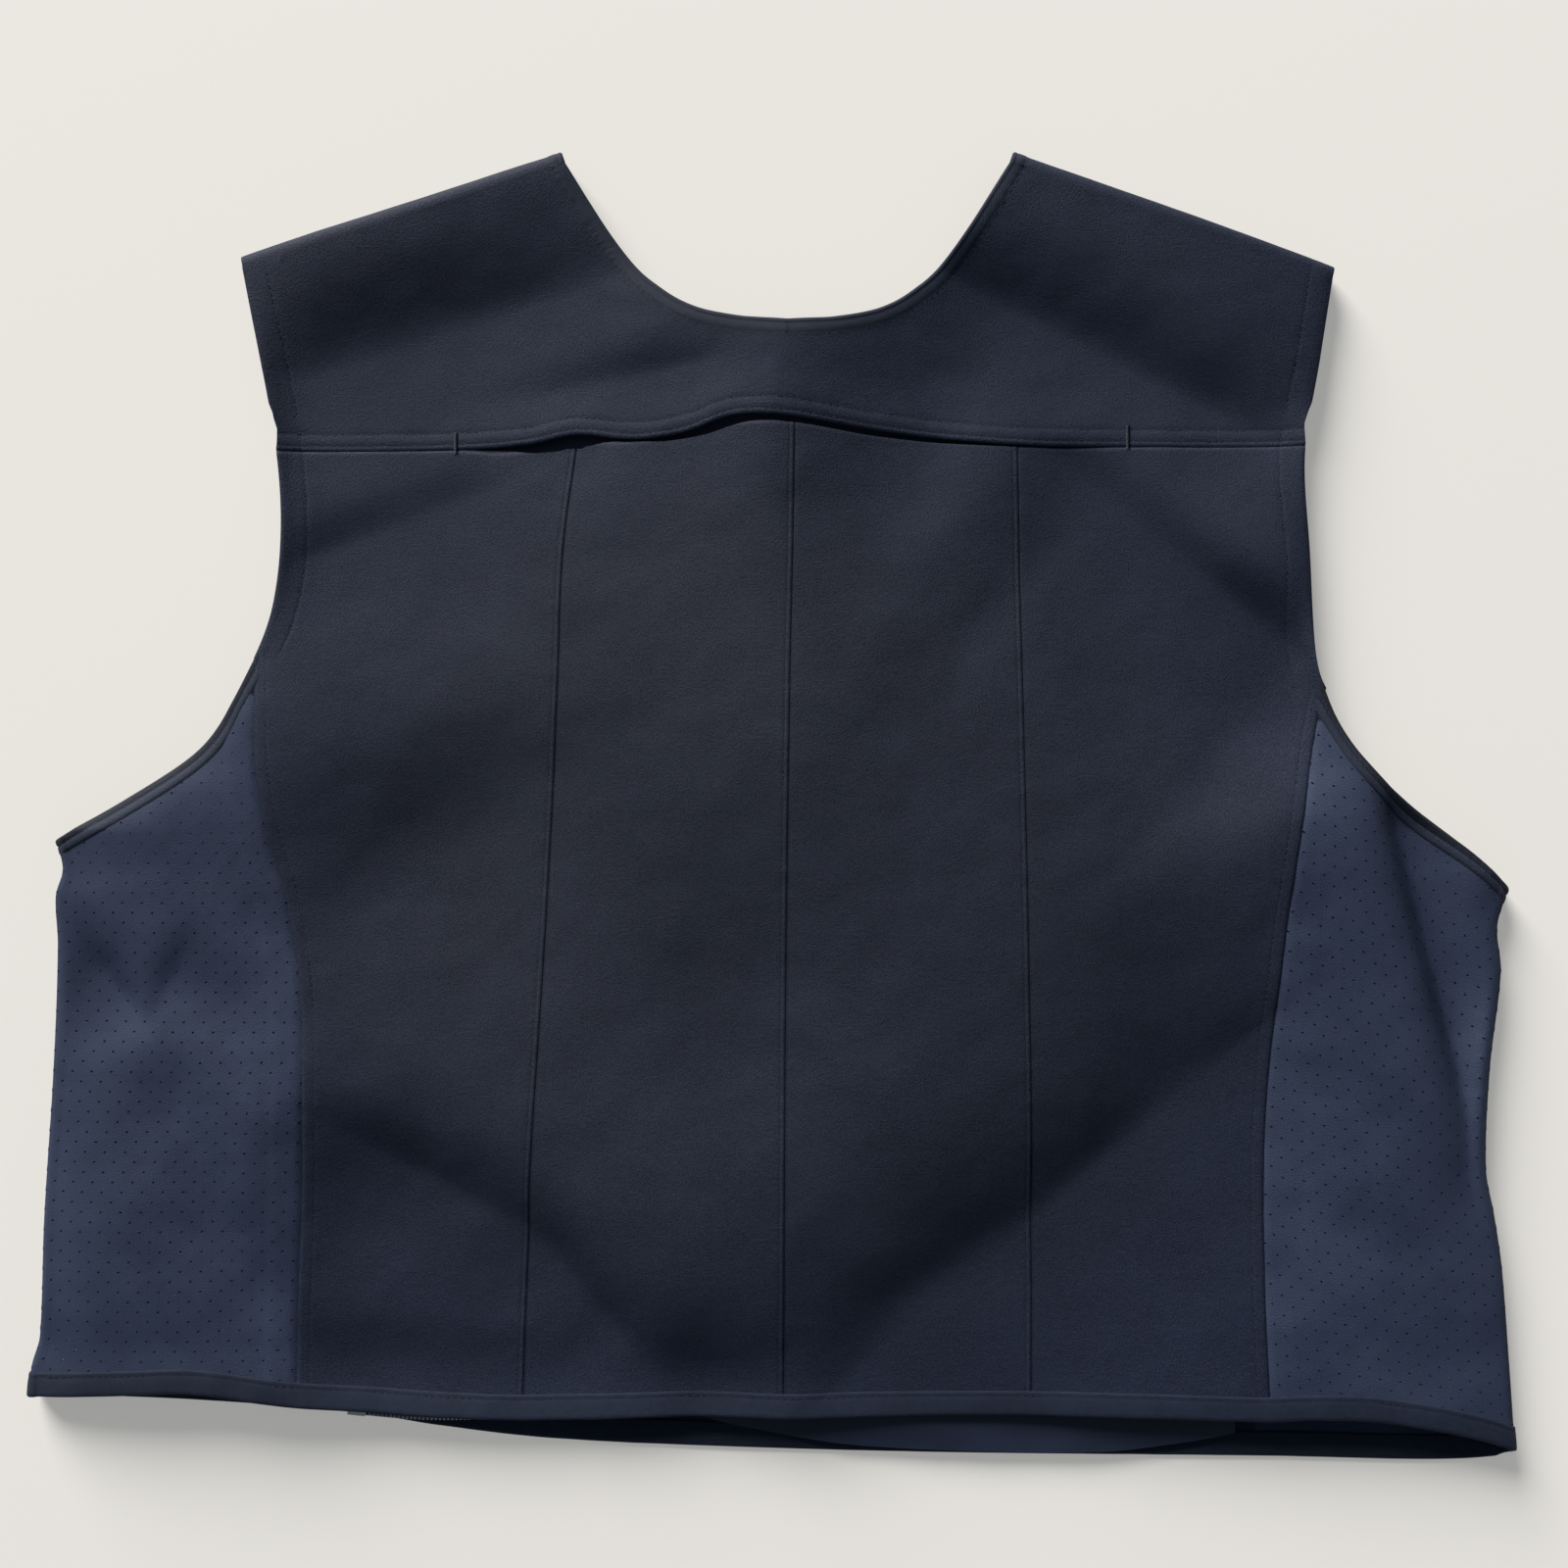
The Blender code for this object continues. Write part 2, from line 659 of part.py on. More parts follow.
def yoke(surface):
    """The twill yoke: one piece across the back, over both shoulders and a little way down the front."""
    inset = EDGE_BAND_WIDTH + SEAM_GAP
    neck_root = {side: back_neck(side * NECK_ROOT, inset) for side in SIDES}

    def arm(side, y):
        return Vector((armhole_x[side](y), y))

    def base(side, share):
        """The yoke's lower edge under one shoulder, from the armhole in."""
        x = mixed(armhole_x[side](YOKE_SIDE_Y), SHOULDER_ROOT_X[side], share)
        return Vector((x, yoke_edge_y(x)))

    def shoulder_part(side, u, v):
        """u 0 at the armhole and 1 at the neck, v 0 at the yoke's edge and 4 at the front seam."""
        arm_start, neck_start, outward = shoulder_line(side, inset)
        divide = (arm(side, SHOULDER_ROOT_Y[side]), neck_root[side])
        if v <= 1:
            foot = base(side, 0).y
            point = patch(
                lambda s: base(side, s),
                lambda s: mixed(*divide, s),
                lambda t: arm(side, mixed(foot, divide[0].y, t)),
                lambda t: mixed(base(side, 1), divide[1], t),
                u,
                v,
            )
            return on_yoke(point)
        if v <= 2:
            point = patch(
                lambda s: mixed(*divide, s),
                lambda s: mixed(arm_start, neck_start, s),
                lambda t: mixed(divide[0], arm_start, t),
                lambda t: back_neck(side * mixed(NECK_ROOT, 1, t), inset),
                u,
                v - 1,
            )
            return on_yoke(point)
        if v <= 3:
            return shoulder_turn(side, mixed(arm_start, neck_start, u), v - 2)
        share = front_yoke_end() * (v - 3)
        neck = front_neck(share if side == RIGHT else 1 - share, inset)
        return on_front(mixed(arm_start - outward * (FRONT_YOKE_DEPTH * (v - 3)), neck, u))

    def middle(u, v):
        """u counts 0 to 1 over the left shoulder, 1 to 2 below the neck and 2 to 3 over the right."""
        if u <= 1 or (v > 1 and u < 1.5):
            return shoulder_part(LEFT, u, v)
        if u >= 2 or v > 1:
            return shoulder_part(RIGHT, 3 - u, v)
        x = mixed(SHOULDER_ROOT_X[LEFT], SHOULDER_ROOT_X[RIGHT], u - 1)
        foot = Vector((x, yoke_edge_y(x)))
        return on_yoke(mixed(foot, back_neck(NECK_ROOT * (2 * u - 3), inset), v))

    columns = spread(0, 1, 9) + spread(1, 2, 12)[1:] + spread(2, 3, 9)[1:]
    rows = spread(0, 1, 4) + spread(1, 2, 5)[1:] + spread(2, 3, 5)[1:] + spread(3, 4, 3)[1:]
    cloth(
        "back_yoke", surface, columns, rows, middle, TWILL, kept=lambda u, v: not (1 < u < 2 and v > 1)
    )


def neck_band(surface):
    """The turned band round the whole neck: back neckline, both shoulders and the front neckline."""

    def middle(u, v):
        """u 0 to 1 runs along the back, 1 to 2 over the right shoulder, 2 to 3 along the front."""
        u %= 4
        inset = v * EDGE_BAND_WIDTH
        if u <= 1:
            return on_back(back_neck(2 * u - 1, inset))
        if u < 2:
            return shoulder_turn(RIGHT, shoulder_line(RIGHT, inset)[1], u - 1)
        if u <= 3:
            return on_front(front_neck(u - 2, inset), BAND / 2)
        return shoulder_turn(LEFT, shoulder_line(LEFT, inset)[1], 4 - u)

    columns = spread(0, 1, 24) + spread(1, 2, 5)[1:] + spread(2, 3, 18)[1:] + spread(3, 4, 5)[1:]
    cloth("neck_binding", surface, columns, [1, 0], middle, BAND)


def rim_point(side, along, inset):
    """A point of the underarm edge: along 0 at the seam with the twill, 1 where the turn begins."""
    turn_y = root(
        lambda y: side * (fold_start(side, underarm_y[side]) - armhole_x[side](y)),
        underarm_y[side],
        seam_top[side],
    )
    y = mixed(seam_top[side], turn_y, along)
    step = 0.001
    slope = (armhole_x[side](y + step) - armhole_x[side](y - step)) / (2 * step)
    bend_start = 0.6
    at_turn = eased(along, bend_start, 1)
    inward = mixed(Vector((-side, side * slope)).normalized(), Vector((0, -1)), at_turn).normalized()
    shift = fold_start(side, turn_y - inset) - armhole_x[side](turn_y)
    return Vector((armhole_x[side](y) + shift * at_turn, y)) + inward * inset


@functools.cache
def rim_start(side, inset):
    """Where the underarm edge, moved in by an inset, leaves the seam with the twill."""

    def past_seam(along):
        point = rim_point(side, along, inset)
        return side * (point.x - seam_x[side](point.y)) - SEAM_GAP / 2

    latest = 0.8
    return root(past_seam, 0, latest)


def underarm(side, w, inset):
    """The underarm edge: w 0 to 1 on the back, 1 to 2 round the side and 2 to 3 on the front."""
    share = w if w <= 1.5 else 3 - w
    shy_start, shy_end = 0.05, 0.40
    shy = UNDERARM_SHY * eased(share, shy_start, shy_end) * (1 - eased(w, 1, 2))
    if share <= 1:
        start = rim_start(side, round(inset, 5))
        return rim_point(side, mixed(start, 1, share), inset + shy)
    swing = math.sin(math.pi * (w - 1))
    turn_y = rim_point(side, 1, 0).y
    y = mixed(turn_y, underarm_y[side], swing) - inset - shy
    return Vector((fold_start(side, y) + side * FOLD_RADIUS * swing, y))


def side_columns(side):
    """Places round one side, for the mesh and its underarm band, so that their edges run together."""
    columns = spread(0, 1, 9) + spread(1, 2, 6)[1:] + spread(2, 3, 7)[1:]
    return columns[::-1] if side == LEFT else columns


def wrapped(side, w, point, lift=FRONT_LIFT):
    """Gives a point of the side its height: on the back, round the fold or on the front."""
    if w <= 1:
        return on_back(point)
    if w >= 2:
        return on_front(point, lift)
    top = loft(fold_start(side, point.y), point.y)
    height = (top + lift) / 2 + (top - lift) / 2 * math.cos(math.pi * (w - 1))
    return Vector((point.x, point.y, height))


def armhole_band(side, surface):
    """The turned band under one arm, where the mesh is cut, from seam to seam round the side."""

    def middle(w, v):
        return wrapped(side, w, underarm(side, w, v * EDGE_BAND_WIDTH), BAND / 2)

    name = "armhole_binding_left" if side == LEFT else "armhole_binding_right"
    cloth(name, surface, side_columns(side), [1, 0], middle, BAND)


def side_panel(side, surface):
    """The eyelet mesh side: from the back seam round the side of the body to the front seam."""
    inset = EDGE_BAND_WIDTH + SEAM_GAP

    def hem_line(w, share):
        """The upper edge of the hem band under the mesh, from the seam out to the fold."""
        hem_y = back_hem_y if w <= 1 else front_hem_y
        turn_x = fold_start(side, hem_turn_y(side, 0 if w <= 1 else 1) + HEM_WIDTH)
        x = mixed(seam_x[side](BODY_LOW_Y) + side * SEAM_GAP / 2, turn_x, share)
        return Vector((x, hem_y(x) + HEM_WIDTH + SEAM_GAP))

    def turn_line(w, v):
        """A line up the side of the fold, from the hem band to the underarm band."""
        low = mixed(hem_line(1, 1).y, hem_line(2, 1).y, w - 1)
        y = mixed(low, underarm(side, w, inset).y, v)
        swing = math.sin(math.pi * (w - 1)) if 1 < w < 2 else 0
        return Vector((fold_start(side, y) + side * FOLD_RADIUS * swing, y))

    def middle(w, v):
        if 1 < w < 2:
            return wrapped(side, w, turn_line(w, v))
        edge = 1 if w <= 1 else 2
        share = w if w <= 1 else 3 - w

        def seam(t):
            y = mixed(hem_line(w, 0).y, underarm(side, 3 * (edge - 1), inset).y, t)
            return Vector((seam_x[side](y) + side * SEAM_GAP / 2, y))

        point = patch(
            lambda s: hem_line(w, s),
            lambda s: underarm(side, s if w <= 1 else 3 - s, inset),
            seam,
            lambda t: turn_line(edge, t),
            share,
            v,
        )
        return wrapped(side, w, point)

    name = "side_panel_left" if side == LEFT else "side_panel_right"
    cloth(name, surface, side_columns(side), spread(0, 1, 13), middle, MESH)


def front_panel(surface):
    """The front, face down: flat, with a deeper neckline than the back's and seams to yoke and mesh."""
    low = HEM_WIDTH + SEAM_GAP
    inset = EDGE_BAND_WIDTH + SEAM_GAP
    seam_share = front_yoke_end() + 2 * SEAM_GAP / FRONT_NECK_DEPTH / math.pi
    hem_places = spread(front_side_x(LEFT, BODY_LOW_Y), front_side_x(RIGHT, BODY_LOW_Y), 24)
    hem_line = [Vector((x, front_hem_y(x) + low)) for x in hem_places]

    def side_edge(side, foot):
        """Up one side of the front, from the hem band to the yoke."""
        arm_start, _, outward = shoulder_line(side, 0)
        top = arm_start - outward * (FRONT_YOKE_DEPTH + 2 * SEAM_GAP)
        near_top = mixed(foot.y, seam_top[side], NEAR_SEAM_TOP)
        heights = spread(foot.y, near_top, 14)[1:] + spread(near_top, seam_top[side], 4)[1:]
        heights += spread(seam_top[side], top.y, 8)[1:-1]
        return [Vector((front_side_x(side, y), y)) for y in heights] + [top]

    neckline = [front_neck(share, inset) for share in spread(seam_share, 1 - seam_share, 18)]
    outline = hem_line + side_edge(RIGHT, hem_line[-1]) + neckline + side_edge(LEFT, hem_line[0])[::-1]
    flat_cloth("front_panel", surface, outline, 0, TWILL)


def hem_band(surface):
    """The folded twill band round the whole lower edge: back, both sides and front."""
    lift = BAND / 2

    def corner(side, w, v):
        """Round one lower corner: w 0 on the back and 1 on the front."""
        y = hem_turn_y(side, w) + v * HEM_WIDTH
        x = fold_start(side, y)
        return turned_under(Vector((x, y)), loft(x, y), w, Vector((side, 0)), bottom=lift)

    def straight(w, start, end, share, v):
        """Along the back (w 0) or the front (w 1), from the start of one corner's turn to the other's."""
        hem_y = (back_hem_y, front_hem_y)[w]
        ends = [fold_start(side, hem_turn_y(side, w) + v * HEM_WIDTH) for side in (start, end)]
        x = mixed(*ends, share)
        return Vector((x, hem_y(x) + v * HEM_WIDTH))

    def middle(u, v):
        """u 0 to 1 along the back, 1 to 2 round the right, 2 to 3 along the front, 3 to 4 round the left."""
        u %= 4
        if u <= 1:
            return on_back(straight(0, LEFT, RIGHT, u, v))
        if u < 2:
            return corner(RIGHT, u - 1, v)
        if u <= 3:
            return on_front(straight(1, RIGHT, LEFT, u - 2, v), lift)
        return corner(LEFT, 4 - u, v)

    columns = spread(0, 1, 44) + spread(1, 2, 6)[1:] + spread(2, 3, 32)[1:] + spread(3, 4, 6)[1:]
    cloth("hem_band", surface, columns, [0, 1], middle, BAND)


def front_lining(surface):
    """The smooth pocket cloth inside the front, bagging out over the hem band at its lower edge."""

    def side_x(side, y):
        return front_side_x(side, y) - side * LINING_INSET

    def middle(u, v):
        x = mixed(side_x(LEFT, BODY_LOW_Y), side_x(RIGHT, BODY_LOW_Y), u)
        y = mixed(lining_edge_y(x), LINING_TOP, v)
        x = mixed(side_x(LEFT, y), side_x(RIGHT, y), u)
        over_hem = eased(front_hem_y(x) + HEM_WIDTH + HEM_STEP_EASE - y, 0, HEM_STEP_EASE - SEAM_GAP)
        floor = mixed(TWILL, BAND, over_hem) + SEAM_GAP + LINING / 2
        return Vector((x, y, floor + LINING_BAG * (1 - eased(v, 0, BAG_SHARE))))

    rows = spread(0, HEM_STEP_SHARE, 6) + spread(HEM_STEP_SHARE, 1, 4)[1:]
    cloth("front_lining", surface, spread(0, 1, 20), rows, middle, LINING)


def zip_parts(tape_surface, coil_surface, metal):
    """The end of the pocket's zip: tape on the hem band, coil and end stop on the tape, plain slider."""
    tape_lift = BAND + SEAM_GAP + ZIP_TAPE / 2
    coil_lift = tape_lift + ZIP_TAPE / 2 + SEAM_GAP + COIL_HEIGHT / 2
    start, end = ZIP_LINE[0].x, ZIP_LINE[-1].x

    def strip(width, shift, lift):
        def middle(u, v):
            x = mixed(start, end, u)
            return Vector((x, zip_y(x) + shift + (v - 0.5) * width, lift))

        return middle

    def heading(x):
        step = 0.002
        return math.atan2(zip_y(x + step) - zip_y(x - step), 2 * step)

    tape = strip(ZIP_TAPE_WIDTH, ZIP_TAPE_SHIFT, tape_lift)
    coil = strip(COIL_WIDTH, 0, coil_lift)
    stop_share = (STOP_LENGTH + SEAM_GAP) / (end - start)
    slider_share = 1 - (SLIDER_LENGTH + SEAM_GAP) / (end - start)
    cloth("zipper_tape", tape_surface, spread(0, 1, 16), [0, 1], tape, ZIP_TAPE)
    cloth("zipper_coil", coil_surface, spread(stop_share, slider_share, 16), [0, 1], coil, COIL_HEIGHT)
    stop_x = start + STOP_LENGTH / 2
    stop_centre = Vector((stop_x, zip_y(stop_x), coil_lift))
    stop_size = (STOP_LENGTH, STOP_WIDTH, COIL_HEIGHT)
    block("zipper_stop", metal, stop_centre, stop_size, heading(stop_x), STOP_BEVEL)
    slider_x = end - SLIDER_LENGTH / 2
    slider_lift = coil_lift + (SLIDER_HEIGHT - COIL_HEIGHT) / 2
    slider_centre = Vector((slider_x, zip_y(slider_x), slider_lift))
    slider_size = (SLIDER_LENGTH, SLIDER_WIDTH, SLIDER_HEIGHT)
    block("zipper_slider", metal, slider_centre, slider_size, heading(slider_x), SLIDER_BEVEL)


def slot_facing(surface):
    """The cloth behind the slot, under the yoke's free edge and the back's."""
    drop = TWILL / 2 + FACING_CLEARANCE + LINING / 2

    def middle(u, v):
        x = mixed(SLOT_LEFT - FACING_OVERHANG, SLOT_RIGHT + FACING_OVERHANG, u)
        y = mixed(back_top_y(x) - FACING_LAP, yoke_edge_y(x) + FACING_LAP, v)
        return Vector((x, y, loft(x, y) - drop))

    cloth("yoke_pocket_facing", surface, spread(0, 1, 22), spread(0, 1, 4), middle, LINING)


def main():
    for old in list(bpy.data.objects):
        bpy.data.objects.remove(old)
    twill, band, mesh, lining = navy_twill(), navy_band_twill(), navy_mesh(), navy_lining()
    back_panel(twill)
    yoke(twill)
    slot_facing(lining)
    for side in SIDES:
        side_panel(side, mesh)
        armhole_band(side, mesh)
    neck_band(band)
    hem_band(band)
    front_panel(twill)
    front_lining(lining)
    zip_parts(lining, zip_coil_nylon(), zip_metal())


main()
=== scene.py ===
import bisect
import functools
import math
from collections import namedtuple

import bmesh
import bpy
from mathutils import Matrix, Vector, noise


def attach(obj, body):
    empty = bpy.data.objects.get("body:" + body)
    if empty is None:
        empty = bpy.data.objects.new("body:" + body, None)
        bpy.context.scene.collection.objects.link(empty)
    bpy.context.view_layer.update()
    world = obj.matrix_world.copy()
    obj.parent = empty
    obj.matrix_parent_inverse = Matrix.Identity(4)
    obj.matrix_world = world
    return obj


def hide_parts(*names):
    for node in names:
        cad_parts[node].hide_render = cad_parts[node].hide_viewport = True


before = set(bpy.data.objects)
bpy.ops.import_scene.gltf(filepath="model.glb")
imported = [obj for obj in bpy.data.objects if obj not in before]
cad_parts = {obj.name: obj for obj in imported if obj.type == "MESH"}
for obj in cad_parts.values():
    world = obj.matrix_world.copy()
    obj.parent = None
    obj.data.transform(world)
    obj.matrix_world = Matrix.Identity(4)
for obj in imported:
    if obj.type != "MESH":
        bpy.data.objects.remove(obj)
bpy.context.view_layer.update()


# The back: four widths of matt polyester twill between the yoke and the hem, joined by three
# vertical tucks, each a pinched crease with a row of stitches in it and another beside it. It is
# topstitched along the mesh sides and the armholes, and lies in soft folds over the front.
TWILL = 0.0014
FRONT_LIFT = TWILL / 2
FOLD_RADIUS = 0.0052
FOLD_TOP = FRONT_LIFT + 2 * FOLD_RADIUS
MESH_WALL = 0.0012
CROWN = 0.0068
EDGE_EASE = 0.020
FOLD_EASE = 0.008
HEM_CROWN = 0.75
HEM_RISE = (-0.262, -0.130)
FRONT_TOP = 0.0036
HEM_TOP = 0.0062
HEM_TOP_RISE = (-0.225, -0.100)
SHOULDER_TOP = 0.0028
SHOULDER_TOP_RISE = (0.115, 0.145)
SHOULDER_CROWN = 0.56
SHOULDER_FALL = (0.110, 0.262)
HEM_WIDTH = 0.0100
BODY_LOW_Y = -0.235
YOKE_SIDE_Y = 0.148
LEFT, RIGHT = -1, 1
SIDES = (LEFT, RIGHT)

SideRow = namedtuple("SideRow", "y x")
LineRow = namedtuple("LineRow", "x y")
TuckRow = namedtuple("TuckRow", "y left middle right")
FoldRow = namedtuple("FoldRow", "x0 y0 x1 y1 depth near far edge bow", defaults=(2.0, 0.0))
RippleRow = namedtuple("RippleRow", "height per_x per_y phase")
ReliefRow = namedtuple("ReliefRow", "offset height")
ShareRow = namedtuple("ShareRow", "offset share")


def table(kind, *rows):
    """Rows of numbers, named as their kind names them."""
    return tuple(kind(*row) for row in rows)


ARMHOLE = {
    LEFT: table(SideRow,
        (-0.011, -0.2940), (0.005, -0.2655), (0.025, -0.2353), (0.045, -0.2205), (0.065, -0.2090),
        (0.085, -0.2026), (0.115, -0.1999), (0.145, -0.2018), (0.185, -0.2086), (0.226, -0.2163)
    ),
    RIGHT: table(SideRow,
        (-0.031, 0.3022), (-0.015, 0.2853), (0.005, 0.2602), (0.025, 0.2403), (0.045, 0.2272),
        (0.065, 0.2216), (0.105, 0.2188), (0.145, 0.2168), (0.185, 0.2232), (0.223, 0.2293)
    ),
}
SIDE_FOLD = {
    LEFT: table(SideRow,
        (-0.240, -0.3048), (-0.227, -0.3033), (-0.215, -0.2999), (-0.166, -0.2977), (-0.106, -0.2945),
        (-0.055, -0.2929), (-0.035, -0.2937), (-0.024, -0.2908), (-0.011, -0.2940)
    ),
    RIGHT: table(SideRow,
        (-0.264, 0.3048), (-0.227, 0.3023), (-0.187, 0.2990), (-0.166, 0.2958), (-0.146, 0.2922),
        (-0.106, 0.2938), (-0.066, 0.2986), (-0.047, 0.2972), (-0.031, 0.3022)
    ),
}
SIDE_SEAM = {
    LEFT: table(SideRow,
        (-0.245, -0.1932), (-0.192, -0.1919), (-0.131, -0.1898), (-0.076, -0.1907), (-0.034, -0.1973),
        (-0.010, -0.2040), (0.018, -0.2085), (0.048, -0.2098), (0.062, -0.2104)
    ),
    RIGHT: table(SideRow,
        (-0.245, 0.2023), (-0.192, 0.2009), (-0.131, 0.2019), (-0.076, 0.2059), (-0.034, 0.2098),
        (0.008, 0.2160), (0.032, 0.2212), (0.050, 0.2256)
    ),
}
TUCKS = table(TuckRow,
    (-0.240, -0.1025, 0.0040, 0.1055), (-0.180, -0.1004, 0.0043, 0.1056), (-0.070, -0.0944, 0.0050, 0.1035),
    (0.050, -0.0880, 0.0066, 0.1015), (0.106, -0.0858, 0.0078, 0.1006), (0.152, -0.0800, 0.0085, 0.0999)
)
BACK_TOP = table(LineRow,
    (-0.2030, 0.1466), (-0.1275, 0.1474), (-0.1100, 0.1462), (-0.0800, 0.1502), (-0.0560, 0.1502),
    (-0.0360, 0.1524), (-0.0160, 0.1568), (0.0060, 0.1570), (0.0450, 0.1524), (0.0960, 0.1492),
    (0.1465, 0.1488), (0.2170, 0.1485)
)
BACK_HEM = table(LineRow,
    (-0.3040, -0.2390), (-0.2620, -0.2370), (-0.2320, -0.2365), (-0.1940, -0.2424), (-0.1640, -0.2453),
    (-0.1340, -0.2476), (-0.1040, -0.2486), (-0.0740, -0.2482), (-0.0350, -0.2474), (0.0050, -0.2480),
    (0.1500, -0.2480), (0.2000, -0.2487), (0.2220, -0.2478), (0.2450, -0.2485), (0.2680, -0.2520),
    (0.2900, -0.2570), (0.3045, -0.2620)
)

# Valleys of the cloth, from one end to the other. "near" is the width on the left of that way and
# "far" the width on its right. The nearer "edge" is to 1, the steeper the left flank is at the line.
# A ridge is the same with the cloth raised.
FOLDS = table(FoldRow,
    (-0.226, 0.166, -0.060, 0.218, 0.0120, 0.029, 0.140, 1.6),
    (-0.114, 0.166, -0.018, 0.184, 0.0062, 0.014, 0.090, 1.6),
    (0.058, 0.226, 0.222, 0.143, 0.0125, 0.022, 0.110, 1.4),
    (-0.208, 0.096, -0.104, 0.136, 0.0100, 0.017, 0.090, 1.5),
    (-0.186, -0.064, -0.066, 0.026, 0.0135, 0.048, 0.100, 1.7, 0.006),
    (0.110, 0.150, 0.238, 0.046, 0.0125, 0.015, 0.100, 1.5),
    (0.017, -0.243, 0.213, -0.077, 0.0140, 0.028, 0.110, 1.1),
    (0.110, -0.130, 0.226, -0.032, 0.0085, 0.060, 0.060, 1.8),
    (-0.180, -0.128, -0.088, -0.178, 0.0095, 0.020, 0.070, 1.4),
    (-0.108, -0.160, -0.048, -0.232, 0.0105, 0.015, 0.060, 1.4),
    (-0.200, -0.224, -0.080, -0.232, 0.0078, 0.024, 0.030),
    (-0.080, -0.234, 0.014, -0.236, 0.0096, 0.026, 0.030),
    (-0.060, -0.140, 0.000, -0.020, 0.0050, 0.050, 0.060),
    (0.297, -0.165, 0.251, 0.012, 0.0125, 0.0100, 0.020, 1.3),
    (-0.286, -0.050, -0.253, -0.089, 0.0060, 0.010, 0.030, 1.4),
    (-0.253, -0.089, -0.235, -0.051, 0.0036, 0.009, 0.060, 1.6),
    (-0.253, -0.092, -0.198, -0.224, 0.0036, 0.012, 0.030)
)
RIDGES = table(FoldRow, (0.2400, 0.012, 0.2890, -0.153, 0.0035, 0.0100, 0.045, 1.15))
FOLD_END = 1.5
LONGEST_END = 0.4
FOLD_STOP = 8
RIPPLES = table(RippleRow,
    (0.00060, 31, 17, 0.6), (0.00060, 23, -37, 2.1), (0.00036, 71, 9, 0.0)
)
CRUMPLE_SIZE = 0.019
CRUMPLE_HEIGHT = 0.00034
CREASE_SHARE = 0.4
CREASE_SCALE = 2.3


def mixed(a, b, share):
    return a * (1 - share) + b * share


def eased(value, low, high):
    """0 below low, 1 above high, and a smooth rise between them."""
    t = min(max((value - low) / (high - low), 0), 1)
    return t * t * (3 - 2 * t)


def spread(start, end, count):
    return [mixed(start, end, i / count) for i in range(count + 1)]


def through(rows):
    """A smooth function that passes through (place, value) rows and stays level past their ends."""
    places = [row[0] for row in rows]
    values = [row[1] for row in rows]
    last = len(rows) - 1
    slopes = []
    for i in range(len(rows)):
        before, after = max(i - 1, 0), min(i + 1, last)
        slopes.append((values[after] - values[before]) / (places[after] - places[before]))

    def value_at(place):
        place = min(max(place, places[0]), places[last])
        i = min(bisect.bisect_right(places, place) - 1, last - 1)
        span = places[i + 1] - places[i]
        t = (place - places[i]) / span
        start = values[i] * (1 + 2 * t) * (1 - t) ** 2 + slopes[i] * span * t * (1 - t) ** 2
        end = values[i + 1] * (3 - 2 * t) * t**2 - slopes[i + 1] * span * (1 - t) * t**2
        return start + end

    return value_at


armhole_x = {side: through(rows) for side, rows in ARMHOLE.items()}
fold_x = {side: through(rows) for side, rows in SIDE_FOLD.items()}
seam_x = {side: through(rows) for side, rows in SIDE_SEAM.items()}
seam_top = {side: rows[-1].y for side, rows in SIDE_SEAM.items()}
underarm_y = {side: rows[0].y for side, rows in ARMHOLE.items()}
back_top_y = through(BACK_TOP)
back_hem_y = through(BACK_HEM)
tuck_x = [through([(row.y, place) for row, place in zip(TUCKS, line)]) for line in list(zip(*TUCKS))[1:]]


def fold_start(side, y):
    """Where the mesh on the back begins to turn under, inside the outermost line."""
    return fold_x[side](y) - side * (FOLD_RADIUS + MESH_WALL / 2)


def outline_x(side, y):
    if y > underarm_y[side]:
        return side * min(side * armhole_x[side](y), side * fold_start(side, y))
    return fold_start(side, y)


def valley(row, x, y):
    """How far one fold lowers the cloth at a point."""
    run_x, run_y = row.x1 - row.x0, row.y1 - row.y0
    length = math.hypot(run_x, run_y)
    place = ((x - row.x0) * run_x + (y - row.y0) * run_y) / length**2
    reach = min(FOLD_END * row.near / length, LONGEST_END)
    if not -reach < place < 1 + reach:
        return 0.0
    inside = min(max(place, 0), 1)
    across = (run_x * (y - row.y0) - run_y * (x - row.x0)) / length - row.bow * 4 * inside * (1 - inside)
    width, edge = (row.near, row.edge) if across > 0 else (row.far, 2)
    ends = eased(place, -reach, FOLD_END * reach) * (1 - eased(place, 1 - FOLD_END * reach, 1 + reach))
    return row.depth * ends * math.exp(-((abs(across) / width) ** edge))


def crumple(x, y):
    """Unevenness finer than the folds."""
    spot = Vector((x, y, 0))
    finer = noise.noise(spot * CREASE_SCALE / CRUMPLE_SIZE)
    return CRUMPLE_HEIGHT * (noise.noise(spot / CRUMPLE_SIZE) + CREASE_SHARE * finer)


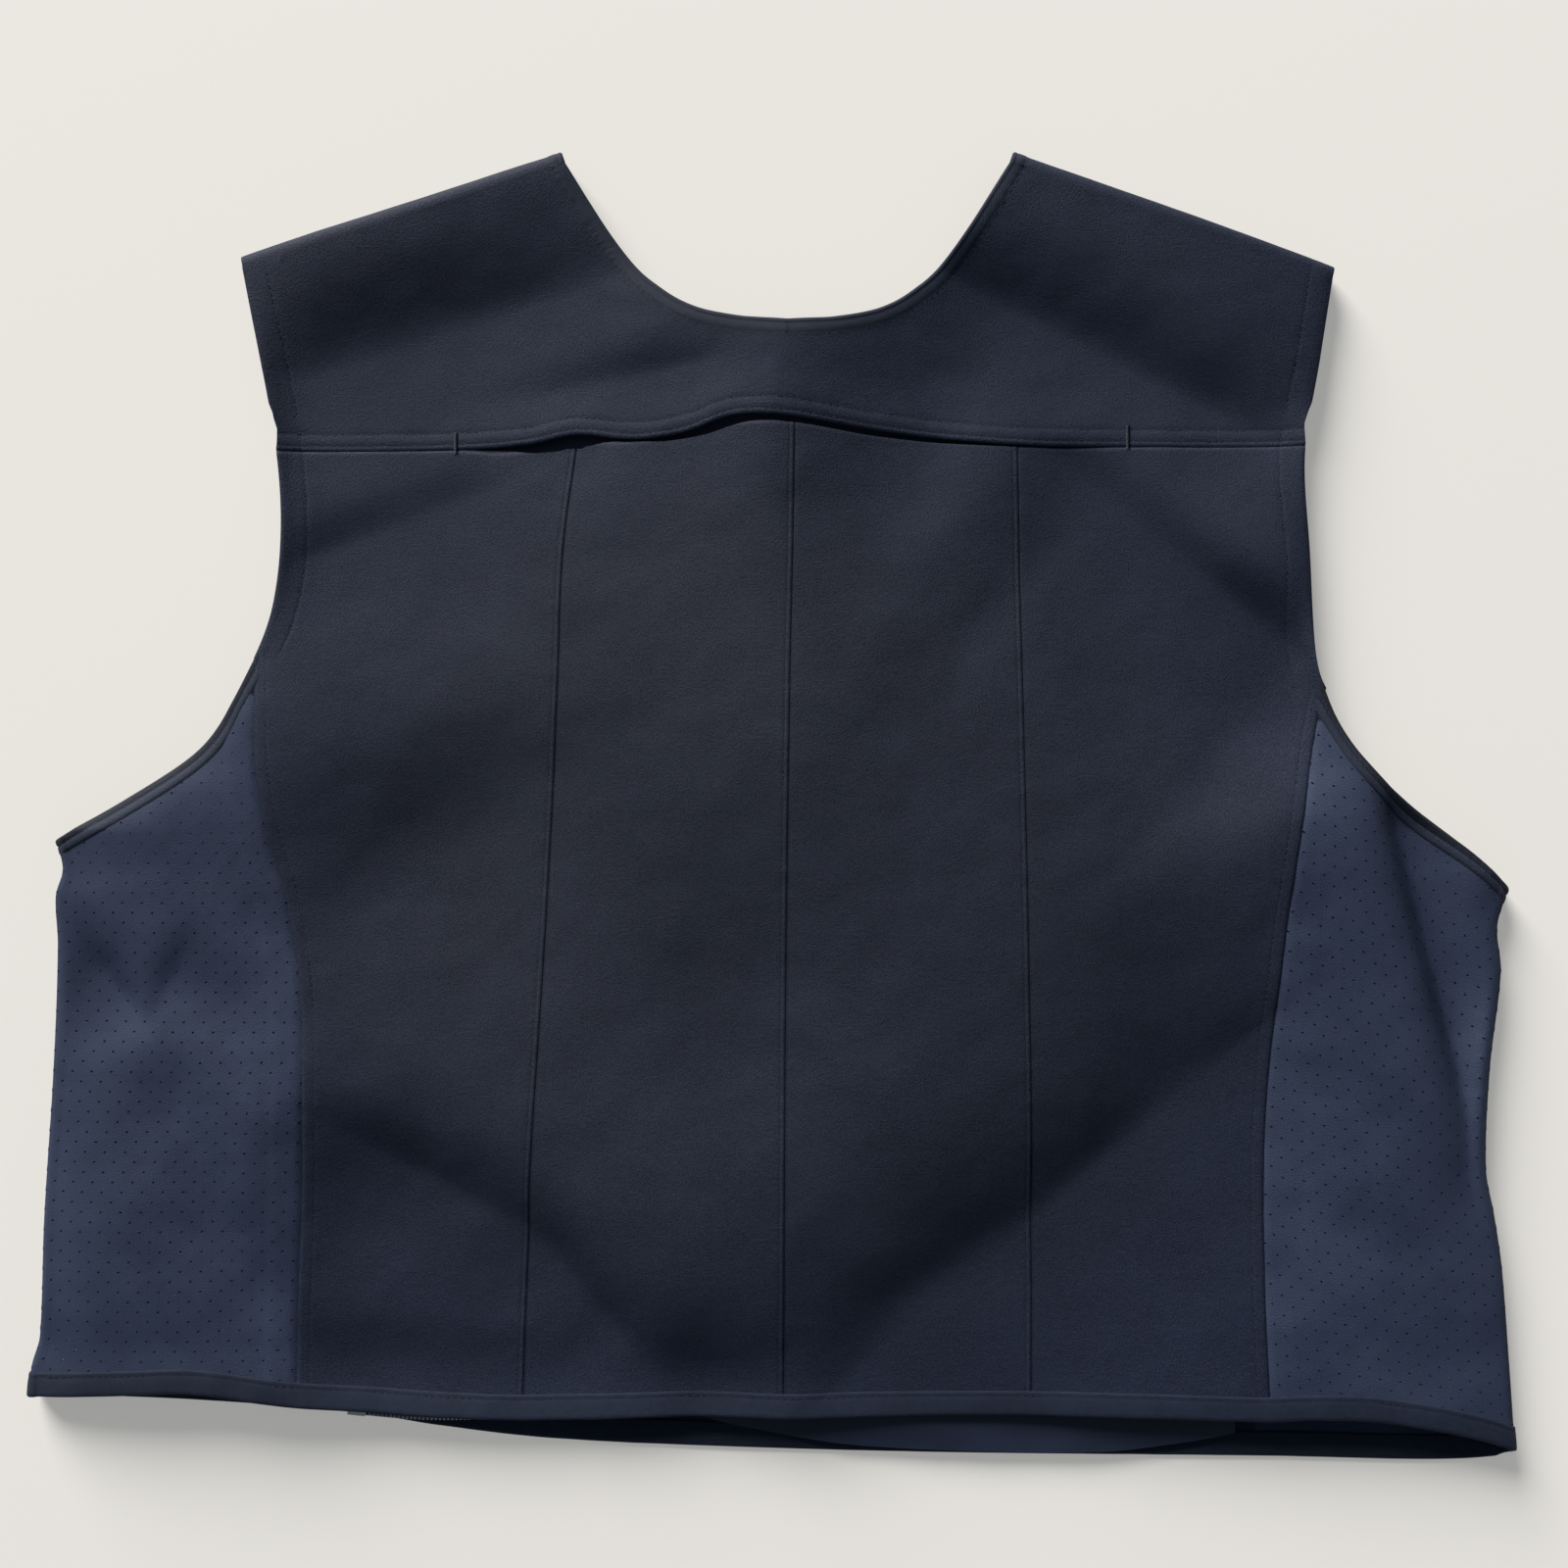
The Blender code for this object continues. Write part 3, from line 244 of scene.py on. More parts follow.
def loft(x, y):
    """Height of the middle of the back cloth. A deep fold stops on the cloth underneath."""
    inside = min(x - outline_x(LEFT, y), outline_x(RIGHT, y) - x)
    ease = 1 - math.exp(-max(inside, 0) / EDGE_EASE)
    low_end = mixed(HEM_CROWN, 1, eased(y, *HEM_RISE))
    high_end = mixed(1, SHOULDER_CROWN, eased(y, *SHOULDER_FALL))
    rippled = sum(row.height * math.sin(row.per_x * x + row.per_y * y + row.phase) for row in RIPPLES)
    full = FOLD_TOP + rippled + ease * (CROWN * low_end * high_end + crumple(x, y))
    below = mixed(HEM_TOP, FRONT_TOP, eased(y, *HEM_TOP_RISE))
    room = full - mixed(below, SHOULDER_TOP, eased(y, *SHOULDER_TOP_RISE))
    fold_ease = 1 - math.exp(-max(inside, 0) / FOLD_EASE)
    raised = fold_ease * sum(valley(row, x, y) for row in RIDGES)
    lowered = fold_ease * math.hypot(*(valley(row, x, y) for row in FOLDS))
    room += raised
    return full + raised - lowered / (1 + (lowered / room) ** FOLD_STOP) ** (1 / FOLD_STOP)


def on_back(x, y, lift=0.0):
    return Vector((x, y, loft(x, y) + lift))


def back_side_x(side, y):
    """Side of the twill back: the seam with the mesh, and the armhole above it."""
    line = seam_x if y <= seam_top[side] else armhole_x
    return line[side](y)


OBJECT_PLACE = 3


def fill(node, values):
    """Sets or links a node's inputs, by their names or numbers."""
    for name, value in values.items():
        if isinstance(value, Socket):
            node.id_data.links.new(value.socket, node.inputs[name])
        else:
            node.inputs[name].default_value = value


class Socket:
    """A value or colour among a material's nodes, which takes part in Python sums."""

    def __init__(self, tree, socket=None):
        self.tree, self.socket = tree, socket

    def node(self, kind, settings=None, inputs=None, output=0):
        """Adds a node: first its settings, then the values or links of its sockets."""
        made = self.tree.nodes.new("ShaderNode" + kind)
        for name, value in (settings or {}).items():
            setattr(made, name, value)
        fill(made, inputs or {})
        return Socket(self.tree, made.outputs[output])

    def maths(self, operation, *values):
        return self.node("Math", {"operation": operation}, dict(enumerate(values)))

    def __add__(self, other):
        return self.maths("ADD", self, other)

    def __sub__(self, other):
        return self.maths("SUBTRACT", self, other)

    def __rsub__(self, other):
        return self.maths("SUBTRACT", other, self)

    def __mul__(self, other):
        return self.maths("MULTIPLY", self, other)

    def __truediv__(self, other):
        return self.maths("DIVIDE", self, other)

    __radd__, __rmul__ = __add__, __mul__

    def wave(self):
        """0 to 1 and back once for every whole number."""
        return self.maths("SINE", self * math.tau) * 0.5 + 0.5

    def between(self, low, high):
        """0 below low and 1 above high."""
        settings = {"interpolation_type": "SMOOTHSTEP", "clamp": True}
        return self.node("MapRange", settings, {"Value": self, "From Min": low, "From Max": high})

    def number(self, index):
        """One of the three numbers of a place."""
        return self.node("SeparateXYZ", None, {0: self}, index)

    def grains(self, sizes, detail=2.0):
        """Noise at a place, in grains of the given sizes."""
        counts = tuple(1 / size for size in sizes)
        place = self.node("VectorMath", {"operation": "MULTIPLY"}, {0: self, 1: counts})
        inputs = {"Vector": place, "Scale": 1.0, "Detail": detail}
        return self.node("TexNoise", {"noise_dimensions": "3D"}, inputs)

    def bump(self, depth, strength):
        """A surface that stands out where this value is high."""
        return self.node("Bump", None, {"Height": self, "Distance": depth, "Strength": strength})

    def tinted(self, dark, light):
        """The colour from dark to light at this value."""
        light = light if isinstance(light, Socket) else (*light, 1)
        return self.node("Mix", {"data_type": "RGBA"}, {0: self, 6: (*dark, 1), 7: light}, 2)


def new_material(name, in_cloth=True):
    """A material, its shader, and a place in the piece's flat cloth or in its solid shape."""
    made = bpy.data.materials.new(name)
    made.use_nodes = True
    start = Socket(made.node_tree)
    if in_cloth:
        place = start.node("UVMap", {"uv_map": "cloth"})
    else:
        place = start.node("TexCoord", output=OBJECT_PLACE)
    return made, made.node_tree.nodes["Principled BSDF"], place


TWILL_DARK = (0.0006, 0.0020, 0.0095)
TWILL_LIGHT = (0.0156, 0.0230, 0.0480)
# Painted light: the light end of the twill's colour in the middle of the back, greyer than at the yoke and
# edges.
TWILL_MIDDLE_PAINTED_LIGHT = (0.0200, 0.0250, 0.0420)
FIBRE_GRAIN = (0.00065, 0.00065, 1)
YARN_GRAIN = (0.00085, 0.00130, 1)
SLUB_GRAIN = (0.0034, 0.0026, 1)
CLOUD_GRAIN = (0.045, 0.038, 1)
WALE = 0.00070
TWILL_WALE_SHARE = 0.25
TWILL_ROUGHNESS = 0.66
WEAVE_DEPTH = 0.00020
CLOTH_SPECULAR = 0.24
# Where the painted light in the middle of the back lies, and how far it reaches.
PAINTED_LIGHT_MIDDLE_Y = -0.03
PAINTED_LIGHT_WIDTH = 0.20
PAINTED_LIGHT_LENGTH = 0.19
PAINTED_LIGHT_REACH = 1.3
# Painted shade: how far the crease of a tuck darkens the twill.
CREASE_PAINTED_SHADE = 0.85


def make_twill(name, dark, light, wale_share, middle_light=None):
    """A matt twill: short floats of yarn with a fine diagonal, slubs and faint clouding.

    It is darkened by painted shade in the crease of each tuck. Where middle_light is given, painted light
    turns it greyer in the middle of the back and leaves it bluer towards the yoke and the edges.
    """
    made, shader, cloth = new_material(name)
    across, up = cloth.number(0), cloth.number(1)
    diagonal = ((across + up) / WALE).wave()
    fibres = cloth.grains(FIBRE_GRAIN, 4.0).between(0.40, 0.60)
    floats = cloth.grains(YARN_GRAIN).between(0.38, 0.62)
    slubs = cloth.grains(SLUB_GRAIN, 3.0).between(0.30, 0.70)
    clouds = cloth.grains(CLOUD_GRAIN, 3.0).between(0.30, 0.70)
    grain = (fibres * 0.6 + floats * 0.4) * (1 - wale_share) + diagonal * wale_share
    # The third number of the flat place is the painted shade in the tucks' creases.
    crease_shade = cloth.node("Attribute", {"attribute_name": "flat"}, None, 1).number(2)
    shade = (grain * 0.72 + slubs * 0.14 + clouds * 0.14) * (1 - CREASE_PAINTED_SHADE * crease_shade)
    # Painted light: greyer in the middle of the back, bluer towards the yoke and the edges.
    if middle_light:
        from_middle, from_waist = across / PAINTED_LIGHT_WIDTH, (up - PAINTED_LIGHT_MIDDLE_Y) / PAINTED_LIGHT_LENGTH
        painted_light_share = PAINTED_LIGHT_REACH - (from_middle * from_middle + from_waist * from_waist)
        light = painted_light_share.between(0.0, 1.0).tinted(light, middle_light)
    fill(shader, {
        "Base Color": shade.tinted(dark, light), "Roughness": TWILL_ROUGHNESS + 0.10 * (1 - grain),
        "Normal": grain.bump(WEAVE_DEPTH, 0.6), "Specular IOR Level": CLOTH_SPECULAR,
    })
    return made


twill = make_twill("navy_twill", TWILL_DARK, TWILL_LIGHT, TWILL_WALE_SHARE, TWILL_MIDDLE_PAINTED_LIGHT)
THREAD_GRAIN = (0.0004, 0.0004, 0.0004)
THREAD_SPECULAR = 0.25
# Painted shade of the needle holes.
HOLE_GRAIN = (0.0005, 0.0005, 0.0005)
HOLE_DARK = (0.001, 0.001, 0.002)
HOLE_LIGHT = (0.003, 0.0035, 0.005)


def make_thread(name, dark, light):
    """Spun polyester sewing thread, a little glossier than the cloth."""
    made, shader, place = new_material(name, in_cloth=False)
    fibres = place.grains(THREAD_GRAIN)
    fill(shader, {"Base Color": fibres.tinted(dark, light), "Roughness": 0.62 + 0.2 * fibres,
                  "Specular IOR Level": THREAD_SPECULAR})
    return made


def make_needle_hole():
    """Painted shade of the needle hole at each end of a stitch, on a small dark disc."""
    made, shader, place = new_material("needle_hole", in_cloth=False)
    colour = place.grains(HOLE_GRAIN).tinted(HOLE_DARK, HOLE_LIGHT)
    fill(shader, {"Base Color": colour, "Roughness": 1.0, "Specular IOR Level": 0.0})
    return made


thread = make_thread("navy_thread", (0.003, 0.005, 0.011), (0.011, 0.016, 0.031))
needle_hole = make_needle_hole()


def cloth_grid(columns, rows, place, kept=None):
    """A grid laid by place(column, row), which gives a point and its place in the flat cloth.

    That place may have a third number, how much painted shade in a tuck's crease darkens the cloth there.
    Where a third value follows, it is the share of the wall's thickness there.
    """
    bm = bmesh.new()
    across, along = len(columns) - 1, len(rows) - 1
    bmesh.ops.create_grid(bm, x_segments=across, y_segments=along, size=1)
    if kept:
        left_out = []
        for face in bm.faces:
            centre = face.calc_center_median()
            cell = columns[int((centre.x + 1) / 2 * across)], rows[int((centre.y + 1) / 2 * along)]
            if not kept(*cell):
                left_out.append(face)
        bmesh.ops.delete(bm, geom=left_out, context="FACES")
    flat = bm.verts.layers.float_vector.new("flat")
    walls = bm.verts.layers.deform.verify()
    for vert in bm.verts:
        column = columns[round((vert.co.x + 1) / 2 * across)]
        row = rows[round((vert.co.y + 1) / 2 * along)]
        point, in_cloth, *wall_share = place(column, row)
        vert.co = point
        vert[flat] = Vector(in_cloth).to_3d()
        vert[walls][0] = wall_share[0] if wall_share else 1.0
    return bm


def make_piece(name, bm, materials, wall=0.0, replaces=()):
    """Turns a worked mesh into a piece of the vest, with its cloth coordinates as a UV map."""
    flat = bm.verts.layers.float_vector.get("flat")
    has_shares = bm.verts.layers.deform.active is not None
    if flat is not None:
        cloth_map = bm.loops.layers.uv.new("cloth")
        for face in bm.faces:
            for loop in face.loops:
                loop[cloth_map].uv = loop.vert[flat].xy
    for edge in bm.edges:
        edge.smooth = not edge.is_boundary
    for face in bm.faces:
        face.smooth = True
    mesh = bpy.data.meshes.new(name)
    bm.to_mesh(mesh)
    bm.free()
    for material in materials:
        mesh.materials.append(material)
    piece = bpy.data.objects.new(name, mesh)
    bpy.context.scene.collection.objects.link(piece)
    if wall:
        solidify = piece.modifiers.new("wall", "SOLIDIFY")
        solidify.thickness = wall
        solidify.offset = 0
        if has_shares:
            piece.vertex_groups.new(name="wall")
            solidify.vertex_group = "wall"
    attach(piece, "root")
    if replaces:
        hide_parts(*replaces)
    return piece


STITCH_PITCH = 0.0029
STITCH_LENGTH = 0.0021
STITCH_WIDTH = 0.00046
STITCH_HEIGHT = 0.00022
HOLE_SIZE = 0.00030
HOLE_LIFT = 0.00004


def sew(bm, route, pitch=STITCH_PITCH):
    """Adds a row of stitches along points of the cloth's middle, with a dark disc of painted shade for the
    needle hole between two.
    """
    lift = TWILL / 2
    walked = [0.0]
    for here, there in zip(route, route[1:]):
        walked.append(walked[-1] + (there - here).length)
    count = int(walked[-1] / pitch)
    for n in range(count):
        at = (n + 0.5) * pitch
        i = min(bisect.bisect_right(walked, at) - 1, len(route) - 2)
        share = (at - walked[i]) / (walked[i + 1] - walked[i])
        along = (route[i + 1] - route[i]).normalized()
        up = along.cross(Vector((0, 0, 1))).cross(along).normalized()
        sideways = up.cross(along)
        centre = mixed(route[i], route[i + 1], share) + up * lift
        turn = Matrix((along, sideways, up)).transposed().to_4x4()
        length = pitch * STITCH_LENGTH / STITCH_PITCH
        size = Matrix.Diagonal((length, STITCH_WIDTH, STITCH_HEIGHT, 1))
        spot = Matrix.Translation(centre) @ turn @ size
        bmesh.ops.create_icosphere(bm, subdivisions=1, radius=0.5, matrix=spot)
        # A small disc of painted shade for the needle hole.
        spot = Matrix.Translation(centre + along * pitch / 2 + up * HOLE_LIFT) @ turn
        made = bmesh.ops.create_circle(bm, cap_ends=True, segments=6, radius=HOLE_SIZE, matrix=spot)
        for face in {face for vert in made["verts"] for face in vert.link_faces}:
            face.material_index = 1


SIDE_RELIEF = table(ReliefRow,
    (0.0000, -0.00036), (0.0003, -0.00012), (0.0008, 0.00002), (0.0018, 0.00003), (0.0032, 0.00002),
    (0.0040, 0.00000), (0.0044, -0.00008), (0.0048, -0.00001), (0.0058, 0.00002), (0.0074, 0.00000)
)
ARM_RELIEF = table(ReliefRow,
    (0.0000, -0.00040), (0.0003, -0.00014), (0.0008, 0.00004), (0.0040, 0.00010), (0.0080, 0.00008),
    (0.0090, 0.00000), (0.0095, -0.00012), (0.0100, -0.00001), (0.0115, 0.00003), (0.0140, 0.00000)
)
TUCK_RELIEF = table(ReliefRow,
    (-0.0030, 0.00000), (-0.0018, 0.00002), (-0.0012, -0.00012), (-0.0008, 0.00004), (-0.0004, 0.00010),
    (0.0000, 0.00008), (0.00030, -0.00014), (0.00065, -0.00060), (0.00100, -0.00066), (0.00125, -0.00014),
    (0.0016, -0.00004), (0.0020, 0.00000), (0.0030, 0.00000)
)
# Painted shade in the crease of a tuck: the share of darkening, by the offset from its line.
TUCK_SHADE = table(ShareRow,
    (-0.0018, 0.0), (-0.0012, 0.5), (-0.0008, 0.0), (0.0000, 0.0), (0.0003, 0.8), (0.00065, 1.0),
    (0.00125, 1.0), (0.0016, 0.85), (0.0020, 0.0), (0.0030, 0.0)
)
TOP_RELIEF = table(ReliefRow, (0.0, -0.00060), (0.0004, -0.00015), (0.0010, 0.0), (0.0030, 0.0))
TOP_RELIEF_Y = 0.12
top_relief = through(TOP_RELIEF)
side_relief = through(SIDE_RELIEF)
arm_relief = through(ARM_RELIEF)
tuck_relief = through(TUCK_RELIEF)
tuck_shade = through(TUCK_SHADE)
SEAM_STITCH = 0.0044
ARM_STITCH = 0.0095
TUCK_STITCH = -0.0012
TUCK_CREASE = 0.0008
SIDE_REACH = 0.018
TUCK_REACH = 0.012
SEAM_TO_ARM = (-0.006, 0.010)
PUCKER = 0.00016
PUCKER_SIZE = (0.0046, 0.006)
PUCKER_LAYER = 3.7
SEAM_PUCKER_WIDTH = 0.005
ARM_PUCKER_WIDTH = 0.006
TUCK_PUCKER_WIDTH = 0.004
TUCK_PUCKER = 1.3


def pucker(distance, along, width):
    """Small gathers beside a row of stitches."""
    fade = math.exp(-((distance / width) ** 2))
    spot = Vector((along / PUCKER_SIZE[0], distance / PUCKER_SIZE[1], PUCKER_LAYER))
    return PUCKER * fade * noise.noise(spot)


def side_height(side, x, y):
    """Relief near a side of the twill: its turned edge and the row of stitches along it."""
    edge = side * (back_side_x(side, y) - x)
    if edge > SIDE_REACH:
        return 0.0
    by_seam, by_arm = side_relief(edge), arm_relief(edge)
    if edge > SIDE_RELIEF[-1].offset:
        by_seam = 0.0
    if edge > ARM_RELIEF[-1].offset:
        by_arm = 0.0
    by_seam += pucker(edge - SEAM_STITCH, y, SEAM_PUCKER_WIDTH)
    by_arm += pucker(edge - ARM_STITCH, y, ARM_PUCKER_WIDTH)
    return mixed(by_seam, by_arm, eased(y - seam_top[side], *SEAM_TO_ARM))


def back_row_y(share, row):
    """Height of a row: 0 at the hem band, 1 between the seams' tops, 2 at the yoke."""
    level, shift = row
    crossing = mixed(seam_top[LEFT], seam_top[RIGHT], share)
    if level <= 1:
        x = mixed(back_side_x(LEFT, BODY_LOW_Y), back_side_x(RIGHT, BODY_LOW_Y), share)
        return mixed(back_hem_y(x) + HEM_WIDTH, crossing, level) + shift
    x = mixed(back_side_x(LEFT, YOKE_SIDE_Y), back_side_x(RIGHT, YOKE_SIDE_Y), share)
    return mixed(crossing, back_top_y(x), level - 1) + shift


def back_place(column, row):
    """A point of the twill back. A column is a width, a share across it and a shift from there."""
    width, share, shift = column
    y = back_row_y((width + share) / 4, row)
    lines = [back_side_x(LEFT, y), *(line(y) for line in tuck_x), back_side_x(RIGHT, y)]
    x = mixed(lines[width], lines[width + 1], share) + shift
    height = side_height(LEFT, x, y) + side_height(RIGHT, x, y)
    for line in lines[1:4]:
        if abs(x - line) < TUCK_REACH:
            height += tuck_relief(x - line) + TUCK_PUCKER * pucker(x - line, y, TUCK_PUCKER_WIDTH)
    height += top_relief(back_top_y(x) - y) if y > TOP_RELIEF_Y else 0
    # The third number is the painted shade in the tucks' creases.
    return on_back(x, y, height), (x, y, max(tuck_shade(x - line) for line in lines[1:4]))


SIDE_MARGIN = 0.16
TUCK_MARGIN = 0.05
WIDTH_STEPS = 32
LOWER_STEPS = 128
UPPER_STEPS = 36


def back_columns():
    sides = sorted({row.offset for row in SIDE_RELIEF + ARM_RELIEF})
    columns = [(0, 0, offset) for offset in sides]
    for width in range(4):
        start = SIDE_MARGIN if width == 0 else TUCK_MARGIN
        end = 1 - (SIDE_MARGIN if width == 3 else TUCK_MARGIN)
        columns += [(width, share, 0) for share in spread(start, end, WIDTH_STEPS)]
        if width < 3:
            columns += [(width, 1, row.offset) for row in TUCK_RELIEF]
    return columns + [(3, 1, -offset) for offset in reversed(sides)]


back_rows = [(0, -0.0018)]
back_rows += [(level, 0) for level in spread(0, 1, LOWER_STEPS) + spread(1, 2, UPPER_STEPS)[1:-1]]
back_rows += [(2, -0.0016), (2, -0.0009), (2, -0.0004), (2, 0.0)]
back = make_piece("back_panel_twill", cloth_grid(back_columns(), back_rows, back_place), [twill],
                  wall=TWILL, replaces=["back_panel"])

TUCK_STITCH_PITCH = 0.0024
TUCK_CREASE_PITCH = 0.0013
TUCK_STITCH_SUNK = 0.00022
TUCK_CREASE_SUNK = 0.00062
STITCH_SUNK = 0.00012
DEEP_STITCH_SUNK = 0.00014
SEWN_FROM_Y = -0.236
TUCK_SEWN_TO_Y = 0.1475
ARM_SEWN_TO_Y = 0.145
SEWING_GAP = 0.004
bm = bmesh.new()
for line in tuck_x:
    heights = spread(SEWN_FROM_Y, TUCK_SEWN_TO_Y, 150)
    sew(bm, [on_back(line(y) + TUCK_STITCH, y, -TUCK_STITCH_SUNK) for y in heights], TUCK_STITCH_PITCH)
    sew(bm, [on_back(line(y) + TUCK_CREASE, y, -TUCK_CREASE_SUNK) for y in heights], TUCK_CREASE_PITCH)
for side in SIDES:
    heights = spread(SEWN_FROM_Y, seam_top[side] - SEWING_GAP, 120)
    sew(bm, [on_back(back_side_x(side, y) - side * SEAM_STITCH, y, -STITCH_SUNK) for y in heights])
    heights = spread(seam_top[side] + SEWING_GAP, ARM_SEWN_TO_Y, 60)
    sew(bm, [on_back(back_side_x(side, y) - side * ARM_STITCH, y, -DEEP_STITCH_SUNK) for y in heights])
back_stitches = make_piece("back_panel_stitches", bm, [thread, needle_hole])


# The yoke: one piece of the same twill across the upper back, turned over both shoulders and sewn
# to the front. Its lower edge is turned under and double stitched. Between two bartacks it isn't
# sewn down, so it gapes over a slot, with a third row of stitches above it.
SLOT_LEFT = -0.1275
SLOT_RIGHT = 0.1465
SLOT_GAPE = 0.0007
SLOT_END_EASE = 0.030
SLOT_RISE_WIDTH = 0.024
EDGE_BAND_WIDTH = 0.0072
FRONT_YOKE_DEPTH = 0.040
FRONT_NECK_DEPTH = 0.118
NECK_MIDDLE = 0.0062
NECK_LOW = 0.1990
NECK_TIP = 0.8
NECK_ROOT = 0.42
SHOULDER_ROOT_Y = {LEFT: 0.204, RIGHT: 0.202}
SHOULDER_ROOT_X = {LEFT: -0.060, RIGHT: 0.072}
NeckRow = namedtuple("NeckRow", "height half_width")
NECKLINE = table(NeckRow,
    (0.0000, 0.0000), (0.0012, 0.0180), (0.0056, 0.0375), (0.0155, 0.0540), (0.0255, 0.0642),
    (0.0455, 0.0786), (0.0690, 0.0922)
)
SHOULDER = {
    LEFT: (Vector((-0.2168, 0.2266)), Vector((-0.0856, 0.2680))),
    RIGHT: (Vector((0.2300, 0.2226)), Vector((0.0982, 0.2680))),
}
YOKE_EDGE = table(LineRow,
    (-0.2030, 0.1470), (-0.1275, 0.1482), (-0.1000, 0.1500), (-0.0800, 0.1538), (-0.0560, 0.1515),
    (-0.0360, 0.1540), (-0.0160, 0.1603), (0.0060, 0.1600), (0.0450, 0.1548), (0.0960, 0.1503),
    (0.1465, 0.1494), (0.2170, 0.1489)
)
THIRD_ROW = table(LineRow,
    (-0.1290, 0.1607), (-0.0895, 0.1600), (-0.0610, 0.1611), (-0.0365, 0.1623), (-0.0115, 0.1675),
    (0.0212, 0.1686), (0.0557, 0.1663), (0.0818, 0.1643), (0.1060, 0.1631), (0.1465, 0.1631)
)
yoke_edge_y = through(YOKE_EDGE)
third_row_y = through(THIRD_ROW)
neck_half_width = through(NECKLINE)
YOKE_INSET = EDGE_BAND_WIDTH - 0.0010
YOKE_ROW_ONE = 0.0018
YOKE_ROW_TWO = 0.0066
YOKE_PUCKER = 0.004
EDGE_RELIEF = table(ReliefRow,
    (0.0000, -0.00034), (0.0003, -0.00012), (0.0008, 0.00002), (0.0014, 0.00002), (0.0018, -0.00009),
    (0.0022, 0.00003), (0.0042, 0.00006), (0.0061, 0.00002), (0.0066, -0.00010), (0.0071, -0.00002),
    (0.0090, 0.00000)
)
edge_relief = through(EDGE_RELIEF)


def slot_gape(x, y):
    """How far the yoke's free edge stands up between the slot's ends."""
    from_end = min(x - SLOT_LEFT, SLOT_RIGHT - x)
    return SLOT_GAPE * eased(from_end, 0, SLOT_END_EASE) * (1 - eased(y - yoke_edge_y(x), 0, SLOT_RISE_WIDTH))


FOLD_SQUARENESS = 3.2


def turned_under(point, top, turn, outward, bottom=FRONT_LIFT, radius=FOLD_RADIUS):
    """A point on a fold: turn 0 on the back at the top height, 1 underneath at the bottom height."""
    cos, sin = math.cos(math.pi * turn), math.sin(math.pi * turn)
    size = (abs(cos) ** FOLD_SQUARENESS + sin**FOLD_SQUARENESS) ** (-1 / FOLD_SQUARENESS)
    flat = point + outward * (radius * sin * size)
    return Vector((flat.x, flat.y, (top + bottom) / 2 + (top - bottom) / 2 * cos * size))


def patch(south, north, west, east, u, v):
    """A point of the flat patch inside four edge curves. u runs west to east, v south to north."""
    corners = mixed(mixed(south(0), south(1), u), mixed(north(0), north(1), u), v)
    return mixed(south(u), north(u), v) + mixed(west(v), east(v), u) - corners


def shoulder_line(side, inset):
    """Start of the shoulder's turn on the back, from armhole to neck, and the way out across it."""
    tip, neck = SHOULDER[side]
    along = (neck - tip).normalized()
    outward = Vector((-along.y, along.x)) * -side
    shy = outward * (FOLD_RADIUS + TWILL / 2)
    return tip - shy, neck - shy - along * inset, outward


def back_neck(place, inset):
    """A point of the back neckline: place -1 at the left shoulder, 0 lowest, 1 at the right."""
    side = LEFT if place < 0 else RIGHT
    neck = shoulder_line(side, inset)[1]
    height = (shoulder_line(side, 0)[1].y - NECK_LOW) * place**2
    step = 0.0004
    rise = max(height, step)
    slope = (neck_half_width(rise + step) - neck_half_width(rise - step)) / (2 * step)
    away = Vector((side * min(1, height / step), -slope)).normalized()
    point = Vector((NECK_MIDDLE + side * neck_half_width(height), NECK_LOW + height)) + away * inset
    return mixed(point, neck, eased(abs(place), NECK_TIP, 1))


def front_neck(share, inset):
    """A point of the front neckline, from the right shoulder at 0 to the left at 1."""
    angle = math.pi * share
    ends = [shoulder_line(side, inset)[1] for side in (RIGHT, LEFT)]
    point = mixed(*ends, (1 - math.cos(angle)) / 2)
    return point - Vector((0, (FRONT_NECK_DEPTH + inset) * math.sin(angle)))


def front_yoke_end():
    """Share of the front neckline that the end of the yoke takes up at each shoulder."""
    return math.asin(FRONT_YOKE_DEPTH / FRONT_NECK_DEPTH) / math.pi


def shoulder_turn(side, start, turn):
    """A point on the turn over one shoulder: turn 0 on the back, 1 on the front."""
    return turned_under(start, loft(start.x, start.y), turn, shoulder_line(side, 0)[2])


def yoke_height(point):
    """Relief of the yoke's cloth above the loft of the back."""
    edge = point.y - yoke_edge_y(point.x)
    height = slot_gape(point.x, point.y)
    if edge < EDGE_RELIEF[-1].offset:
        height += edge_relief(edge)
    height += pucker(edge - YOKE_PUCKER, point.x, ARM_PUCKER_WIDTH)
    for side in SIDES:
        inside = side * (armhole_x[side](point.y) - point.x)
        if inside < ARM_RELIEF[-1].offset:
            height += arm_relief(inside)
        height += pucker(inside - ARM_STITCH, point.y, ARM_PUCKER_WIDTH)
    return height


def on_yoke(point):
    return on_back(point.x, point.y, yoke_height(point))


neck_root = {side: back_neck(side * NECK_ROOT, YOKE_INSET) for side in SIDES}


def yoke_base(side, share):
    """The yoke's lower edge under one shoulder, from the armhole in."""
    x = mixed(armhole_x[side](YOKE_SIDE_Y), SHOULDER_ROOT_X[side], share)
    return Vector((x, yoke_edge_y(x)))


def arm_point(side, y):
    return Vector((armhole_x[side](y), y))


